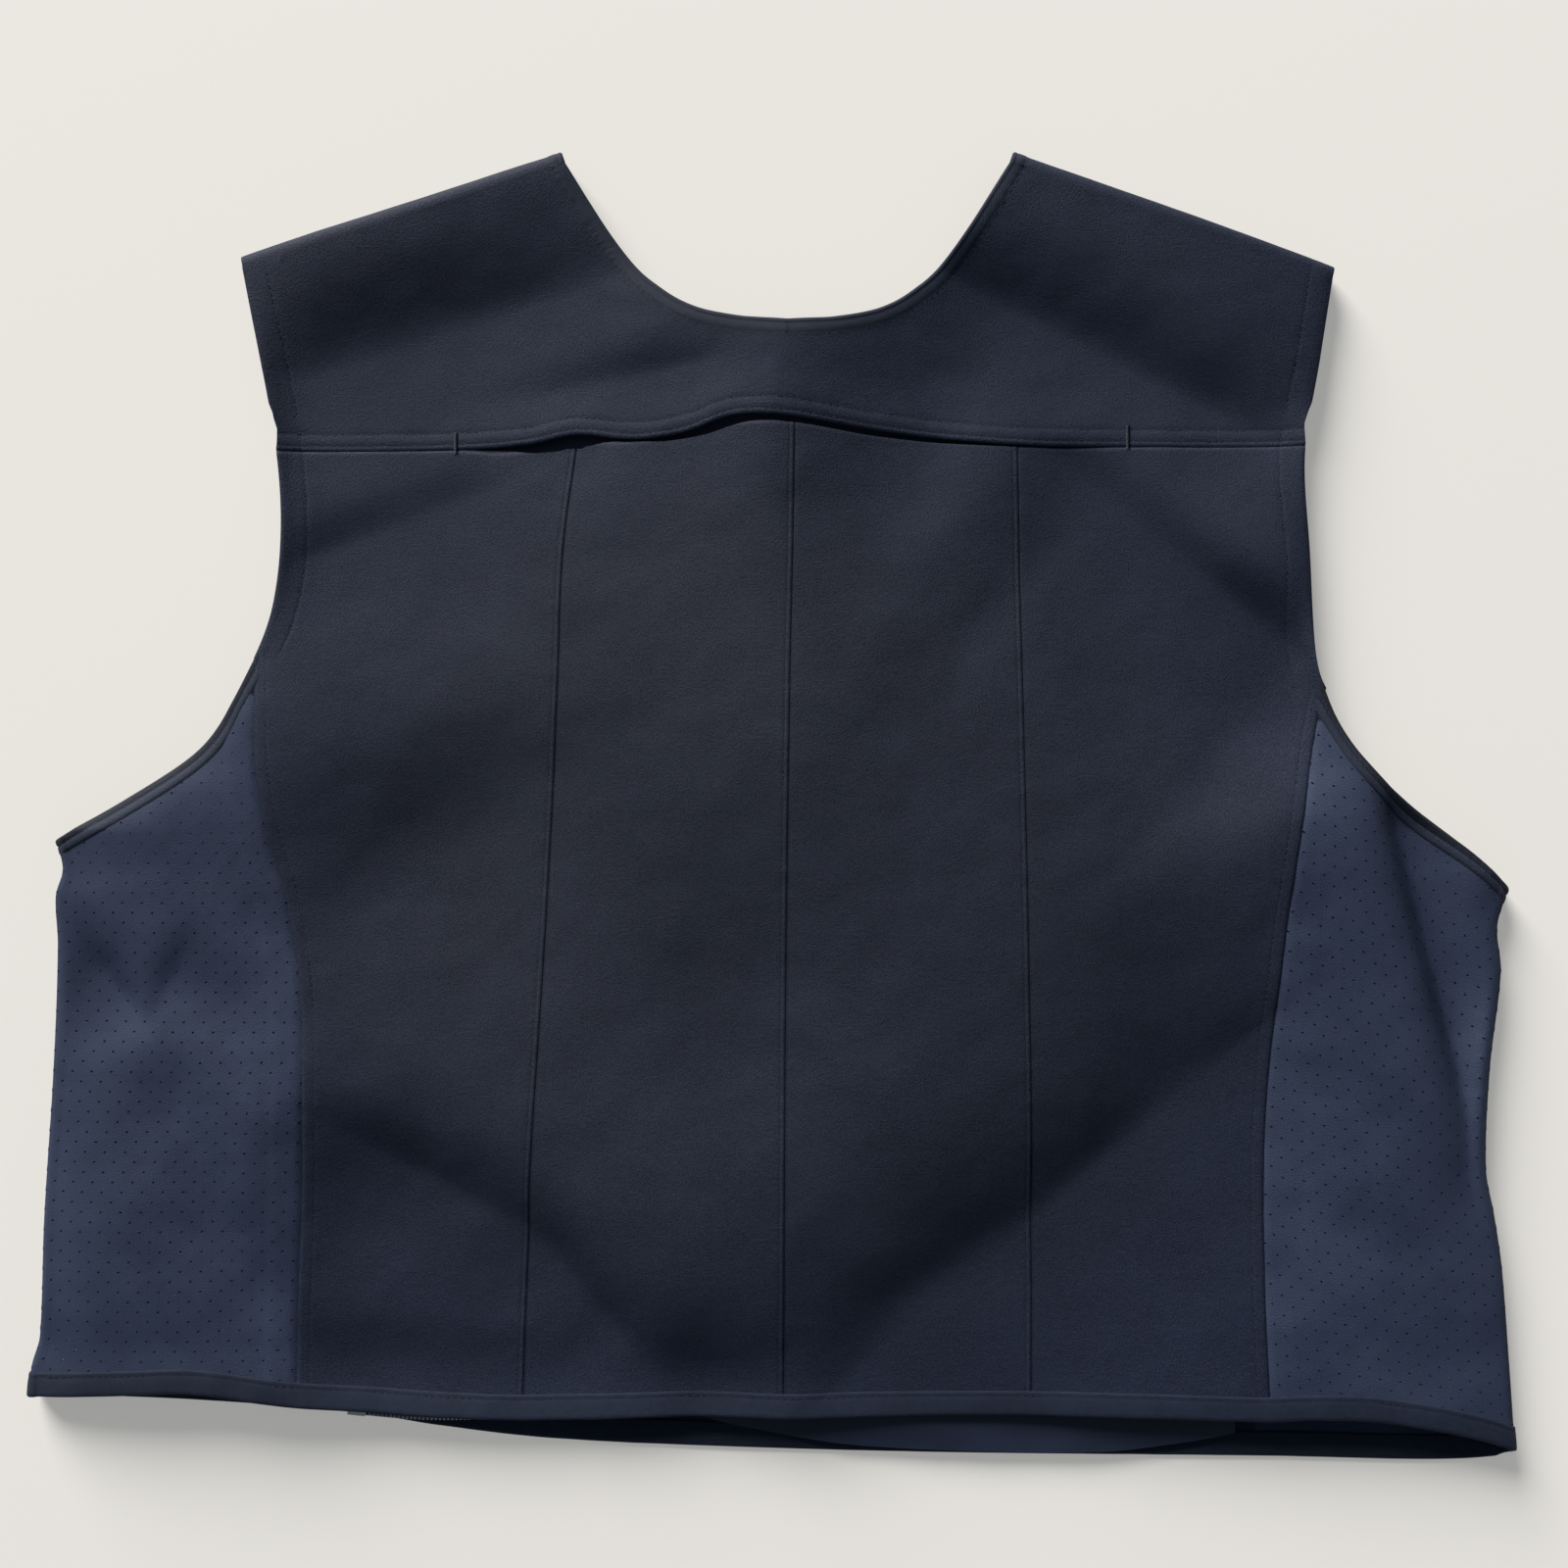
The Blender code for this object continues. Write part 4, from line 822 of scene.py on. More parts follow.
def shoulder_part(side, column, row):
    """Over one shoulder: level 0 at the yoke's edge, 2 and 3 at the shoulder's turn, 4 at the front."""
    u, shift_in = column
    level, shift_up = row
    arm_start, neck_start, outward = shoulder_line(side, YOKE_INSET)
    divide = (arm_point(side, SHOULDER_ROOT_Y[side]), neck_root[side])
    shift = Vector((-side * shift_in, shift_up))
    if level <= 1:
        foot = yoke_base(side, 0).y
        point = patch(
            lambda s: yoke_base(side, s),
            lambda s: mixed(*divide, s),
            lambda t: arm_point(side, mixed(foot, divide[0].y, t)),
            lambda t: mixed(yoke_base(side, 1), divide[1], t),
            u,
            level,
        ) + shift
        point.y += yoke_edge_y(point.x) - yoke_edge_y(point.x + side * shift_in) if level == 0 else 0
        return on_yoke(point), (point.x, point.y)
    if level <= 2:
        point = patch(
            lambda s: mixed(*divide, s),
            lambda s: mixed(arm_start, neck_start, s),
            lambda t: arm_point(side, mixed(divide[0].y, arm_start.y, t)),
            lambda t: back_neck(side * mixed(NECK_ROOT, 1, t), YOKE_INSET),
            u,
            level - 1,
        ) + shift
        return on_yoke(point), (point.x, point.y)
    along = (neck_start - arm_start).normalized()
    start = mixed(arm_start, neck_start, u) + along * shift_in
    arc = math.pi * (loft(start.x, start.y) - FRONT_LIFT) / 2
    if level <= 3:
        raised = yoke_height(start) * (1 - (level - 2))
        place = shoulder_turn(side, start, level - 2) + Vector((0, 0, raised))
        return place, (start.x, start.y + arc * (level - 2))
    share = front_yoke_end() * (level - 3)
    neck = front_neck(share if side == RIGHT else 1 - share, YOKE_INSET)
    point = mixed(arm_start - outward * (FRONT_YOKE_DEPTH * (level - 3)), neck, u) + along * shift_in
    return Vector((point.x, point.y, FRONT_LIFT)), (start.x, start.y + arc + start.y - point.y)


def yoke_place(column, row):
    """A column is 0 to 1 over the left shoulder, 1 to 2 below the neck and 2 to 3 over the right."""
    u, shift_in = column
    level = row[0]
    if u <= 1 or (level > 1 and u < 1.5):
        return shoulder_part(LEFT, (min(u, 1), shift_in), row)
    if u >= 2 or level > 1:
        return shoulder_part(RIGHT, (min(3 - u, 1), shift_in), row)
    x = mixed(SHOULDER_ROOT_X[LEFT], SHOULDER_ROOT_X[RIGHT], u - 1)
    foot = Vector((x, yoke_edge_y(x)))
    point = mixed(foot, back_neck(NECK_ROOT * (2 * u - 3), YOKE_INSET), level) + Vector((0, row[1]))
    return on_yoke(point), (point.x, point.y)


arm_offsets = [row.offset for row in ARM_RELIEF]
yoke_columns = [(0, offset) for offset in arm_offsets]
yoke_columns += [(u, 0) for u in spread(0.13, 1, 44) + spread(1, 2, 56)[1:] + spread(2, 2.87, 44)[1:]]
yoke_columns += [(3, offset) for offset in reversed(arm_offsets)]
yoke_rows = [(0, row.offset) for row in EDGE_RELIEF]
yoke_rows += [(0.15, 0.0045), (0.22, 0.0030)]
yoke_rows += [(level, 0) for level in spread(0.33, 1, 20) + spread(1, 2, 26)[1:]]
yoke_rows += [(level, 0) for level in spread(2, 3, 12)[1:] + spread(3, 4, 10)[1:]]


def beside_neck(column, row):
    """False in the gap of the neckline, above the yoke's middle."""
    return not (1 <= column[0] < 2 and row[0] >= 1)


bm = cloth_grid(yoke_columns, yoke_rows, yoke_place, kept=beside_neck)
yoke = make_piece("yoke_twill", bm, [twill], wall=TWILL, replaces=["back_yoke"])

YOKE_ROW_ENDS = (-0.199, 0.214)
THIRD_ROW_ENDS = (-0.1295, 0.1465)
YOKE_ARM_SEWN = (0.002, -0.006)


def sew_yoke(bm, places, sunk):
    """A row of stitches through the yoke's edge, which stands up over the slot."""
    sew(bm, [on_back(x, y, slot_gape(x, y) - sunk) for x, y in places])


bm = bmesh.new()
for offset in (YOKE_ROW_ONE, YOKE_ROW_TWO):
    sew_yoke(bm, [(x, yoke_edge_y(x) + offset) for x in spread(*YOKE_ROW_ENDS, 200)], STITCH_SUNK)
sew_yoke(bm, [(x, third_row_y(x)) for x in spread(*THIRD_ROW_ENDS, 140)], DEEP_STITCH_SUNK)
for side in SIDES:
    heights = spread(YOKE_SIDE_Y + YOKE_ARM_SEWN[0], SHOULDER[side][0].y + YOKE_ARM_SEWN[1], 50)
    sew(bm, [on_back(armhole_x[side](y) - side * ARM_STITCH, y, -STITCH_SUNK) for y in heights])
BartackRow = namedtuple("BartackRow", "x low high")
BARTACKS = table(BartackRow, (-0.1300, 0.1462, 0.1548), (0.1457, 0.1482, 0.1578))
BARTACK_LIFT = 0.00018
BARTACK_WIDTH = 0.0019
BARTACK_PITCH = 0.00055
pale_thread = make_thread("bartack_thread", (0.020, 0.026, 0.040), (0.070, 0.082, 0.110))
tacks = bmesh.new()
for x, low, high in BARTACKS:
    for y in spread(low, high, round((high - low) / BARTACK_PITCH)):
        ends = [on_back(x + half, y, BARTACK_LIFT) for half in (-BARTACK_WIDTH / 2, BARTACK_WIDTH / 2)]
        sew(tacks, ends, BARTACK_WIDTH)
yoke_stitches = make_piece("yoke_stitches", bm, [thread, needle_hole])
yoke_bartacks = make_piece("yoke_bartacks", tacks, [pale_thread, needle_hole])


# The slot's facing: a strip of smooth pocket cloth behind the open stretch between yoke and back.
# It is sewn under both and hangs a little way down inside, so the slot looks black.
FACING = 0.0006
FACING_LAP = 0.0110
FACING_OVERHANG = 0.0055
FACING_DROP = 0.00184
FACING_SAG = 0.0030
LINING_DARK = (0.0034, 0.0062, 0.0180)
LINING_LIGHT = (0.0120, 0.0190, 0.0450)
LEVEL_THREAD = (0.0030, 0.00030, 1)
UPRIGHT_THREAD = (0.00030, 0.0022, 1)
LINING_CLOUD = (0.030, 0.022, 1)
LINING_DEPTH = 0.00006


def make_lining():
    """Smooth plain-woven pocket cloth with a soft sheen and fine level threads."""
    made, shader, cloth = new_material("navy_lining")
    grain = cloth.grains(LEVEL_THREAD) * 0.6 + cloth.grains(UPRIGHT_THREAD) * 0.4
    clouds = cloth.grains(LINING_CLOUD, 3.0).between(0.3, 0.7)
    colour = (grain * 0.6 + clouds * 0.4).tinted(LINING_DARK, LINING_LIGHT)
    relief = grain.bump(LINING_DEPTH, 0.6)
    fill(shader, {"Base Color": colour, "Roughness": 0.45 + 0.15 * grain, "Normal": relief})
    return made


lining = make_lining()


def facing_place(column, row):
    """A point of the facing: column 0 to 1 along the slot, row 0 on the back, 1 on the yoke."""
    x = mixed(SLOT_LEFT - FACING_OVERHANG, SLOT_RIGHT + FACING_OVERHANG, column)
    y = mixed(back_top_y(x) - FACING_LAP, yoke_edge_y(x) + FACING_LAP, row)
    sag = FACING_SAG * math.sin(math.pi * row) * math.sin(math.pi * column) ** 0.5
    return on_back(x, y, -FACING_DROP - sag), (x, y)


bm = cloth_grid(spread(0, 1, 110), spread(0, 1, 10), facing_place)
facing = make_piece("slot_facing_cloth", bm, [lining], wall=FACING,
                    replaces=["yoke_pocket_facing"])


# The mesh sides: knitted eyelet mesh from the back seam round the side to the front seam, cut in
# one piece. The eyelets stand in staggered rows. Beside each seam the allowance shows as a faint step.
MESH = 0.0007
MESH_STEP_X = 0.00205
MESH_STEP_Y = 0.00202
EYELET_SPACING = 4
MOUTH_TOP = -0.232
EYELET_CUT = 0.0006
EYELET_LONG = 0.00058
EYELET_SHORT = 0.00035
EYELET_TILT = math.radians(-25)
COURSE_SLOPE = {LEFT: 0.0, RIGHT: -0.14}
MESH_REACH = 0.126
MESH_HEIGHT = 0.360
MESH_MIDDLE = -0.102
MESH_DARK = (0.0080, 0.0145, 0.0370)
MESH_LIGHT = (0.0380, 0.0498, 0.0905)
# Painted shade: the colour the turned edge under the arms is darkened to.
TURNED_DARK = (0.0080, 0.0090, 0.0125)
UNDERARM_SHY = 0.0020
SEAM_LAP = 0.0026
HEM_LAP = 0.0034
RIM_COVER = 0.0040
FRONT_HEM = table(LineRow,
    (-0.3040, -0.2410), (-0.2400, -0.2434), (-0.1720, -0.2488), (-0.1380, -0.2540), (-0.0980, -0.2588),
    (-0.0460, -0.2618), (0.0600, -0.2650), (0.2100, -0.2668), (0.2600, -0.2680), (0.2850, -0.2678),
    (0.3045, -0.2662)
)
SEAM_RELIEF = table(ReliefRow,
    (-0.0030, -0.00125), (-0.0008, -0.00115), (0.0006, -0.00030), (0.0020, 0.00030), (0.0080, 0.00040),
    (0.0105, 0.00070), (0.0130, 0.00004), (0.0160, 0.00000)
)
ALLOWANCE = {LEFT: 0.00036, RIGHT: 0.00012}
FRONT_DIP_SHARE = 0.2
front_hem_y = through(FRONT_HEM)
seam_relief = through(SEAM_RELIEF)


def root(function, low, high):
    """Where a rising function of one number passes zero between two places."""
    for _ in range(30):
        middle = (low + high) / 2
        if function(middle) < 0:
            low = middle
        else:
            high = middle
    return (low + high) / 2


@functools.cache
def rim_turn_y(side):
    """Where the underarm edge leaves the armhole's line and turns under with the side."""
    def past(y):
        return side * (fold_start(side, underarm_y[side]) - armhole_x[side](y))

    return root(past, underarm_y[side], seam_top[side])


def rim_point(side, along, inset):
    """A point of the underarm edge: along 0 at the seam with the twill, 1 where the turn begins."""
    turn_y = rim_turn_y(side)
    y = mixed(seam_top[side], turn_y, along)
    step = 0.001
    slope = (armhole_x[side](y + step) - armhole_x[side](y - step)) / (2 * step)
    bend_start = 0.6
    at_turn = eased(along, bend_start, 1)
    inward = mixed(Vector((-side, side * slope)).normalized(), Vector((0, -1)), at_turn).normalized()
    shift = fold_start(side, turn_y - inset) - armhole_x[side](turn_y)
    return Vector((armhole_x[side](y) + shift * at_turn, y)) + inward * inset


@functools.cache
def rim_start(side, inset):
    """Where the underarm edge, moved in by an inset, leaves the seam with the twill."""

    def past_seam(along):
        point = rim_point(side, along, inset)
        return side * (point.x - seam_x[side](point.y)) + SEAM_LAP * 0.6

    latest = 0.8
    return root(past_seam, -0.2, latest)


def underarm(side, w, inset):
    """The underarm edge: w 0 to 1 on the back, 1 to 2 round the side and 2 to 3 on the front."""
    share = w if w <= 1.5 else 3 - w
    shy_start, shy_end = 0.05, 0.40
    shy = UNDERARM_SHY * eased(share, shy_start, shy_end) * (1 - eased(w, 1, 2))
    if share <= 1:
        start = rim_start(side, round(inset, 5))
        return rim_point(side, mixed(start, 1, share), inset + shy)
    swing = math.sin(math.pi * (w - 1))
    turn_y = rim_point(side, 1, 0).y
    y = mixed(turn_y, underarm_y[side], swing) - inset - shy
    return Vector((fold_start(side, y) + side * FOLD_RADIUS * swing, y))


def half_turn(side, y):
    """Half the cloth's length round the fold at the side."""
    height = (loft(fold_start(side, y), y) - FRONT_LIFT) / 2
    return math.pi / 2 * math.sqrt((height**2 + FOLD_RADIUS**2) / 2)


def on_side(side, s, y):
    """A point of the mesh. s runs round the side, from the back below 0 to the front above 0."""
    start, reach = fold_start(side, y), half_turn(side, y)
    x = start - side * max(abs(s) - reach, 0)
    dip = seam_relief(side * (x - seam_x[side](y)))
    dip = min(dip, ALLOWANCE[side])
    if s <= -reach:
        return on_back(x, y, dip)
    if s >= reach:
        return Vector((x, y, FRONT_LIFT - dip * FRONT_DIP_SHARE))
    return turned_under(Vector((start, y)), loft(start, y), (1 + s / reach) / 2, Vector((side, 0)))


def mesh_cut(side):
    """A test for places of the mesh that aren't cut away by its seams and bands."""
    rows = []
    for w in spread(0, 3, 60):
        point = underarm(side, w, RIM_COVER)
        start, reach = fold_start(side, point.y), half_turn(side, point.y)
        if 1 < w < 2:
            rows.append(((2 * w - 3) * reach, point.y))
        else:
            inside = reach + side * (start - point.x)
            rows.append((-inside if w <= 1 else inside, point.y))
    rim_y = through(sorted(rows))

    def kept(s, y):
        start, reach = fold_start(side, y), half_turn(side, y)
        x = start - side * max(abs(s) - reach, 0)
        hem_y = mixed(back_hem_y(x), front_hem_y(x), eased(s, -reach, reach)) + HEM_WIDTH - HEM_LAP
        return hem_y < y < rim_y(s) and side * (x - seam_x[side](y)) > -SEAM_LAP

    return kept


MESH_RIB = 0.00041
RIB_WAVER = 0.00045
MESH_LOOP = 0.00052
FUZZ_GRAIN = (0.00042, 0.00060, 1)
MESH_CLOUD = (0.035, 0.028, 1)
MESH_DEPTH = 0.00018


def make_mesh_cloth(name, shaded=None):
    """Warp-knitted mesh: fine upright ribs of loops with a soft sheen."""
    made, shader, cloth = new_material(name)
    across, up = cloth.number(0), cloth.number(1)
    ribs = (across / MESH_RIB + 0.12 * (up / RIB_WAVER).wave()).wave()
    loops = ((up + across * 0.5) / MESH_LOOP).wave()
    fuzz = cloth.grains(FUZZ_GRAIN, 3.0).between(0.30, 0.70)
    grain = ribs * 0.22 + loops * 0.13 + fuzz * 0.65
    tone = grain * 0.65 + cloth.grains(MESH_CLOUD, 3.0).between(0.3, 0.7) * 0.30
    colour = tone.tinted(MESH_DARK, MESH_LIGHT)
    # Painted shade across a turned edge, as shaded gives it.
    if shaded:
        colour = shaded(up).tinted(TURNED_DARK, colour)
    fill(shader, {
        "Base Color": colour, "Roughness": 0.62 + 0.12 * (1 - grain),
        "Normal": grain.bump(MESH_DEPTH, 0.8), "Specular IOR Level": CLOTH_SPECULAR,
    })
    return made


mesh_cloth = make_mesh_cloth("navy_mesh")


def eyelet_mesh(side):
    """One mesh side, with an eyelet cut at every second rib of every second course."""
    count_x, count_y = round(MESH_REACH / MESH_STEP_X), round(MESH_HEIGHT / MESH_STEP_Y / 2)
    slope = COURSE_SLOPE[side]
    bm = bmesh.new()
    bmesh.ops.create_grid(bm, x_segments=2 * count_x, y_segments=2 * count_y, size=1)
    bmesh.ops.scale(bm, vec=(count_x * MESH_STEP_X, count_y * MESH_STEP_Y, 1), verts=bm.verts[:])
    kept = mesh_cut(side)
    left_out = []
    for face in bm.faces:
        centre = face.calc_center_median()
        if not kept(centre.x, centre.y + MESH_MIDDLE + slope * centre.x):
            left_out.append(face)
    bmesh.ops.delete(bm, geom=left_out, context="FACES")
    eyelets = []
    for vert in bm.verts:
        rib, course = round(vert.co.x / MESH_STEP_X), round(vert.co.y / MESH_STEP_Y)
        half = EYELET_SPACING // 2
        if rib % half == 0 and course % half == 0 and (rib // half + course // half) % 2 == 0:
            in_mouth = vert.co.x > 0 and vert.co.y + MESH_MIDDLE < MOUTH_TOP
            if len(vert.link_faces) == 4 and not in_mouth:
                eyelets.append(vert)
    cut = bmesh.ops.bevel(bm, geom=eyelets, offset=EYELET_CUT, offset_type="OFFSET", segments=2, profile=0.5,
                          affect="VERTICES", material=-1)
    cos, sin = math.cos(EYELET_TILT), math.sin(EYELET_TILT)
    for vert in {vert for face in cut["faces"] for vert in face.verts}:
        x, y = vert.co.x, vert.co.y
        middle = (round(x / MESH_STEP_X) * MESH_STEP_X, round(y / MESH_STEP_Y) * MESH_STEP_Y)
        angle = math.atan2(y - middle[1], x - middle[0])
        long, short = EYELET_LONG * math.cos(angle), EYELET_SHORT * math.sin(angle)
        vert.co.x, vert.co.y = middle[0] + long * cos - short * sin, middle[1] + long * sin + short * cos
    bmesh.ops.delete(bm, geom=cut["faces"], context="FACES")
    flat = bm.verts.layers.float_vector.new("flat")
    for vert in bm.verts:
        s, y = vert.co.x, vert.co.y + MESH_MIDDLE + slope * vert.co.x
        vert[flat] = (s, y, 0)
        vert.co = on_side(side, s, y)
    return bm


side_name = {LEFT: "left", RIGHT: "right"}
for side in SIDES:
    make_piece("side_mesh_" + side_name[side], eyelet_mesh(side), [mesh_cloth],
                                  wall=MESH, replaces=["side_panel_" + side_name[side]])


# The edge bands under the arms: where the mesh is cut, its edge is turned over twice and stitched
# down. A rolled rim, a row of stitches and a flat strip, puckered where it meets the mesh, darkened
# with painted shade at the rim, in the stitched groove and at the inner edge.
BAND = 0.0020
BAND_DARK = (0.0010, 0.0028, 0.0095)
BAND_LIGHT = (0.0190, 0.0270, 0.0520)
BAND_WALE_SHARE = 0.75
band_twill = make_twill("navy_band_twill", BAND_DARK, BAND_LIGHT, BAND_WALE_SHARE)
UNDERARM_SECTION = table(ShareRow,
    (0.0000, 0.45), (0.0003, 0.75), (0.0009, 0.96), (0.0017, 0.94), (0.0022, 0.86), (0.0028, 0.50),
    (0.0034, 0.82), (0.0042, 0.88), (0.0052, 0.88), (0.0060, 0.74), (0.0066, 0.30), (0.0072, 0.20)
)


GROOVE_WIDTH = 0.0012


def puckered(section, along, offset, groove, amount, length):
    """A band's thickness share, gathered by its stitches at a groove."""
    near = math.exp(-(((offset - groove) / GROOVE_WIDTH) ** 2))
    return section * (1 - amount * near * (0.5 + 0.5 * math.cos(math.tau * along / length)))


GROOVE = 0.0028
# Where the painted shade of the turned edge falls, by its inset.
RIM_SHADE = (0.0013, 0.0017)
GROOVE_SHADE = (0.0001, 0.0005)
INNER_SHADE = (0.0058, 0.0064)


def rim_and_grooves(inset):
    """Painted shade across the turned edge: dark at the rim, in the stitched groove and at the inner edge."""
    rim = 0.10 + 0.42 * inset.between(*RIM_SHADE)
    groove = inset.maths("ABSOLUTE", inset - GROOVE).between(*GROOVE_SHADE)
    return rim * (0.1 + 0.9 * groove) * (1 - 0.85 * inset.between(*INNER_SHADE))


band_mesh = make_mesh_cloth("navy_mesh_turned", rim_and_grooves)


UNDERARM_LENGTH = 0.235


def underarm_place(side):
    """The turned edge under one arm: w as for the underarm edge, rows from the rim in."""

    def place(w, row):
        inset = row.offset
        point = underarm(side, w, inset)
        in_cloth = (w / 3 * UNDERARM_LENGTH, inset)
        share = puckered(row.share, in_cloth[0], inset, GROOVE, 0.25, 0.0026)
        if w <= 1:
            return on_back(point.x, point.y), in_cloth, share
        lift = BAND / 2
        if w >= 2:
            return Vector((point.x, point.y, lift)), in_cloth, share
        top = loft(fold_start(side, point.y), point.y)
        height = (top + lift) / 2 + (top - lift) / 2 * math.cos(math.pi * (w - 1))
        return Vector((point.x, point.y, height)), in_cloth, share

    return place


for side in SIDES:
    places = spread(0, 1, 110) + spread(1, 2, 26)[1:] + spread(2, 3, 60)[1:]
    bm = cloth_grid(places, UNDERARM_SECTION[::-1], underarm_place(side))
    underarm_band = make_piece("armhole_band_" + side_name[side], bm, [band_mesh], wall=BAND,
                               replaces=["armhole_binding_" + side_name[side]])


# The neck band: the neckline's edge is turned over and stitched down all round, over both shoulders
# and along the front. Its stitches draw it into small puckers.
NECK_SECTION = table(ShareRow,
    (0.0000, 0.35), (0.0003, 0.70), (0.0008, 0.98), (0.0014, 0.96), (0.0018, 0.80), (0.0024, 0.90),
    (0.0040, 0.96), (0.0056, 0.92), (0.0063, 0.66), (0.0068, 0.82), (0.0071, 0.60), (0.0072, 0.36)
)
NECK_STITCH = 0.0063
NECK_LENGTH = (0.270, 0.020, 0.330, 0.020)


def loop_length(lengths, column):
    """Length along a loop of four parts, up to a column."""
    part = int(column) % 4
    return sum(lengths[:part]) + (column % 1) * lengths[part] + sum(lengths) * int(column >= 4)


def loop_columns(front, turn, back):
    """Columns once round a loop, from the middle of the front: counts for half of it, a turn, the back."""
    columns = spread(2.5, 3, front)
    for start, end, count in ((3, 4, turn), (4, 5, back), (5, 6, turn), (6, 6.5, front)):
        columns += spread(start, end, count)[1:]
    return columns


def neck_place(column, row):
    """A column runs along the back below 1, over the right shoulder, along the front, over the left."""
    u, inset = column % 4, row.offset
    along = loop_length(NECK_LENGTH, column)
    share = puckered(row.share, along, inset, NECK_STITCH, 0.30, 0.0032)
    in_cloth = (along, inset)
    if u <= 1:
        point = back_neck(2 * u - 1, inset)
        return on_back(point.x, point.y), in_cloth, share
    if u < 2:
        return shoulder_turn(RIGHT, shoulder_line(RIGHT, inset)[1], u - 1), in_cloth, share
    if u <= 3:
        point = front_neck(u - 2, inset)
        return Vector((point.x, point.y, BAND / 2)), in_cloth, share
    return shoulder_turn(LEFT, shoulder_line(LEFT, inset)[1], 4 - u), in_cloth, share


bm = cloth_grid(loop_columns(90, 22, 320), NECK_SECTION[::-1], neck_place)
bmesh.ops.remove_doubles(bm, verts=bm.verts[:], dist=1e-6)
neck = make_piece("neck_band", bm, [band_twill], wall=BAND, replaces=["neck_binding"])


# The hem band: a strip of twill folded over the whole lower edge and stitched once, near its top.
# It goes round both sides and along the front, which shows below the back in the mouth of the hem.
HEM_SECTION = table(ShareRow,
    (0.0000, 0.40), (0.0003, 0.72), (0.0009, 0.95), (0.0020, 1.00), (0.0045, 1.00), (0.0066, 0.96),
    (0.0074, 0.92), (0.0079, 0.82), (0.0084, 0.90), (0.0092, 0.88), (0.0097, 0.80), (0.0100, 0.62)
)
HEM_STITCH = 0.0079
HEM_LENGTH = (0.600, 0.020, 0.600, 0.020)
HEM_WAVE = 0.00035
HEM_WAVE_SIZE = (0.012, 0.02)
HEM_STITCH_PITCH = 0.0030
HEM_STITCH_LIFT = 0.0002


def hem_turn_y(side, w):
    """Height of the hem's lower edge at a corner: w 0 on the back and 1 on the front."""
    x = fold_x[side](BACK_HEM[0].y) - side * FOLD_RADIUS
    return mixed(back_hem_y(x), front_hem_y(x), w)


def hem_point(column, offset, height=0.0):
    """A point of the hem: along the back below 1, round the right, along the front, round the left."""
    u, lift = column % 4, BAND / 2
    if 1 < u < 2 or u > 3:
        side, w = (RIGHT, u - 1) if u < 2 else (LEFT, 4 - u)
        y = hem_turn_y(side, w) + offset
        x = fold_start(side, y)
        return turned_under(Vector((x, y)), loft(x, y), w, Vector((side, 0)), bottom=lift)
    on_the_back = u <= 1
    hem_y = back_hem_y if on_the_back else front_hem_y
    w = 0 if on_the_back else 1
    ends = [fold_start(side, hem_turn_y(side, w) + offset) for side in SIDES]
    x = mixed(*ends, u if on_the_back else 3 - u)
    y = hem_y(x) + offset
    return on_back(x, y, height) if on_the_back else Vector((x, y, lift + height))


def hem_place(column, row):
    along = loop_length(HEM_LENGTH, column)
    share = puckered(row.share, along, row.offset, HEM_STITCH, 0.12, HEM_STITCH_PITCH)
    spot = Vector((along / HEM_WAVE_SIZE[0], row.offset / HEM_WAVE_SIZE[1], 0))
    wave = HEM_WAVE * (0.5 + 0.5 * noise.noise(spot))
    return hem_point(column, row.offset, wave), (along, row.offset), share


bm = cloth_grid(loop_columns(250, 24, 620), HEM_SECTION, hem_place)
bmesh.ops.remove_doubles(bm, verts=bm.verts[:], dist=1e-6)
hem = make_piece("hem_band_twill", bm, [band_twill], wall=BAND, replaces=["hem_band"])
bm = bmesh.new()
stitched = [hem_point(column, HEM_STITCH, HEM_STITCH_LIFT) for column in spread(4.004, 4.996, 400)]
sew(bm, stitched, HEM_STITCH_PITCH)
hem_stitches = make_piece("hem_stitches", bm, [thread, needle_hole])


# The front: face down and hidden but for what the neck, the armholes and the hem show of it. One
# plain piece of the twill, lying flat, with a deeper neckline than the back.
FRONT_ARMHOLE_INSET = 0.004
ARMHOLE_INSET_EASE = 0.020
HEM_OVERLAP = 0.0020
NECK_OVERLAP = 0.0015
YOKE_OVERLAP = 0.0016
YOKE_END_SHARE = 0.004
FRONT_SUNK = 0.0001


def front_side_x(side, y):
    """Side of the front: the same seam, and an armhole edge a little inside the back's."""
    above = eased(y, seam_top[side], seam_top[side] + ARMHOLE_INSET_EASE)
    return back_side_x(side, y) - side * FRONT_ARMHOLE_INSET * above


def front_outline():
    low = HEM_WIDTH - HEM_OVERLAP
    inset = EDGE_BAND_WIDTH - NECK_OVERLAP
    share = front_yoke_end() - YOKE_END_SHARE
    foots = spread(front_side_x(LEFT, BODY_LOW_Y), front_side_x(RIGHT, BODY_LOW_Y), 90)
    line = [Vector((x, front_hem_y(x) + low)) for x in foots]
    sides = {}
    for side in SIDES:
        arm_start, _, outward = shoulder_line(side, 0)
        top = arm_start - outward * (FRONT_YOKE_DEPTH - YOKE_OVERLAP)
        foot = line[-1] if side == RIGHT else line[0]
        sides[side] = [Vector((front_side_x(side, y), y)) for y in spread(foot.y, top.y, 110)[1:-1]] + [top]
    neckline = [front_neck(at, inset) for at in spread(share, 1 - share, 110)]
    return line + sides[RIGHT] + neckline + sides[LEFT][::-1]


bm = bmesh.new()
bm.faces.new([bm.verts.new((point.x, point.y, FRONT_LIFT - FRONT_SUNK)) for point in front_outline()])
flat = bm.verts.layers.float_vector.new("flat")
for vert in bm.verts:
    vert[flat] = vert.co
front = make_piece("front_twill", bm, [twill], wall=TWILL - 0.0002, replaces=["front_panel"])


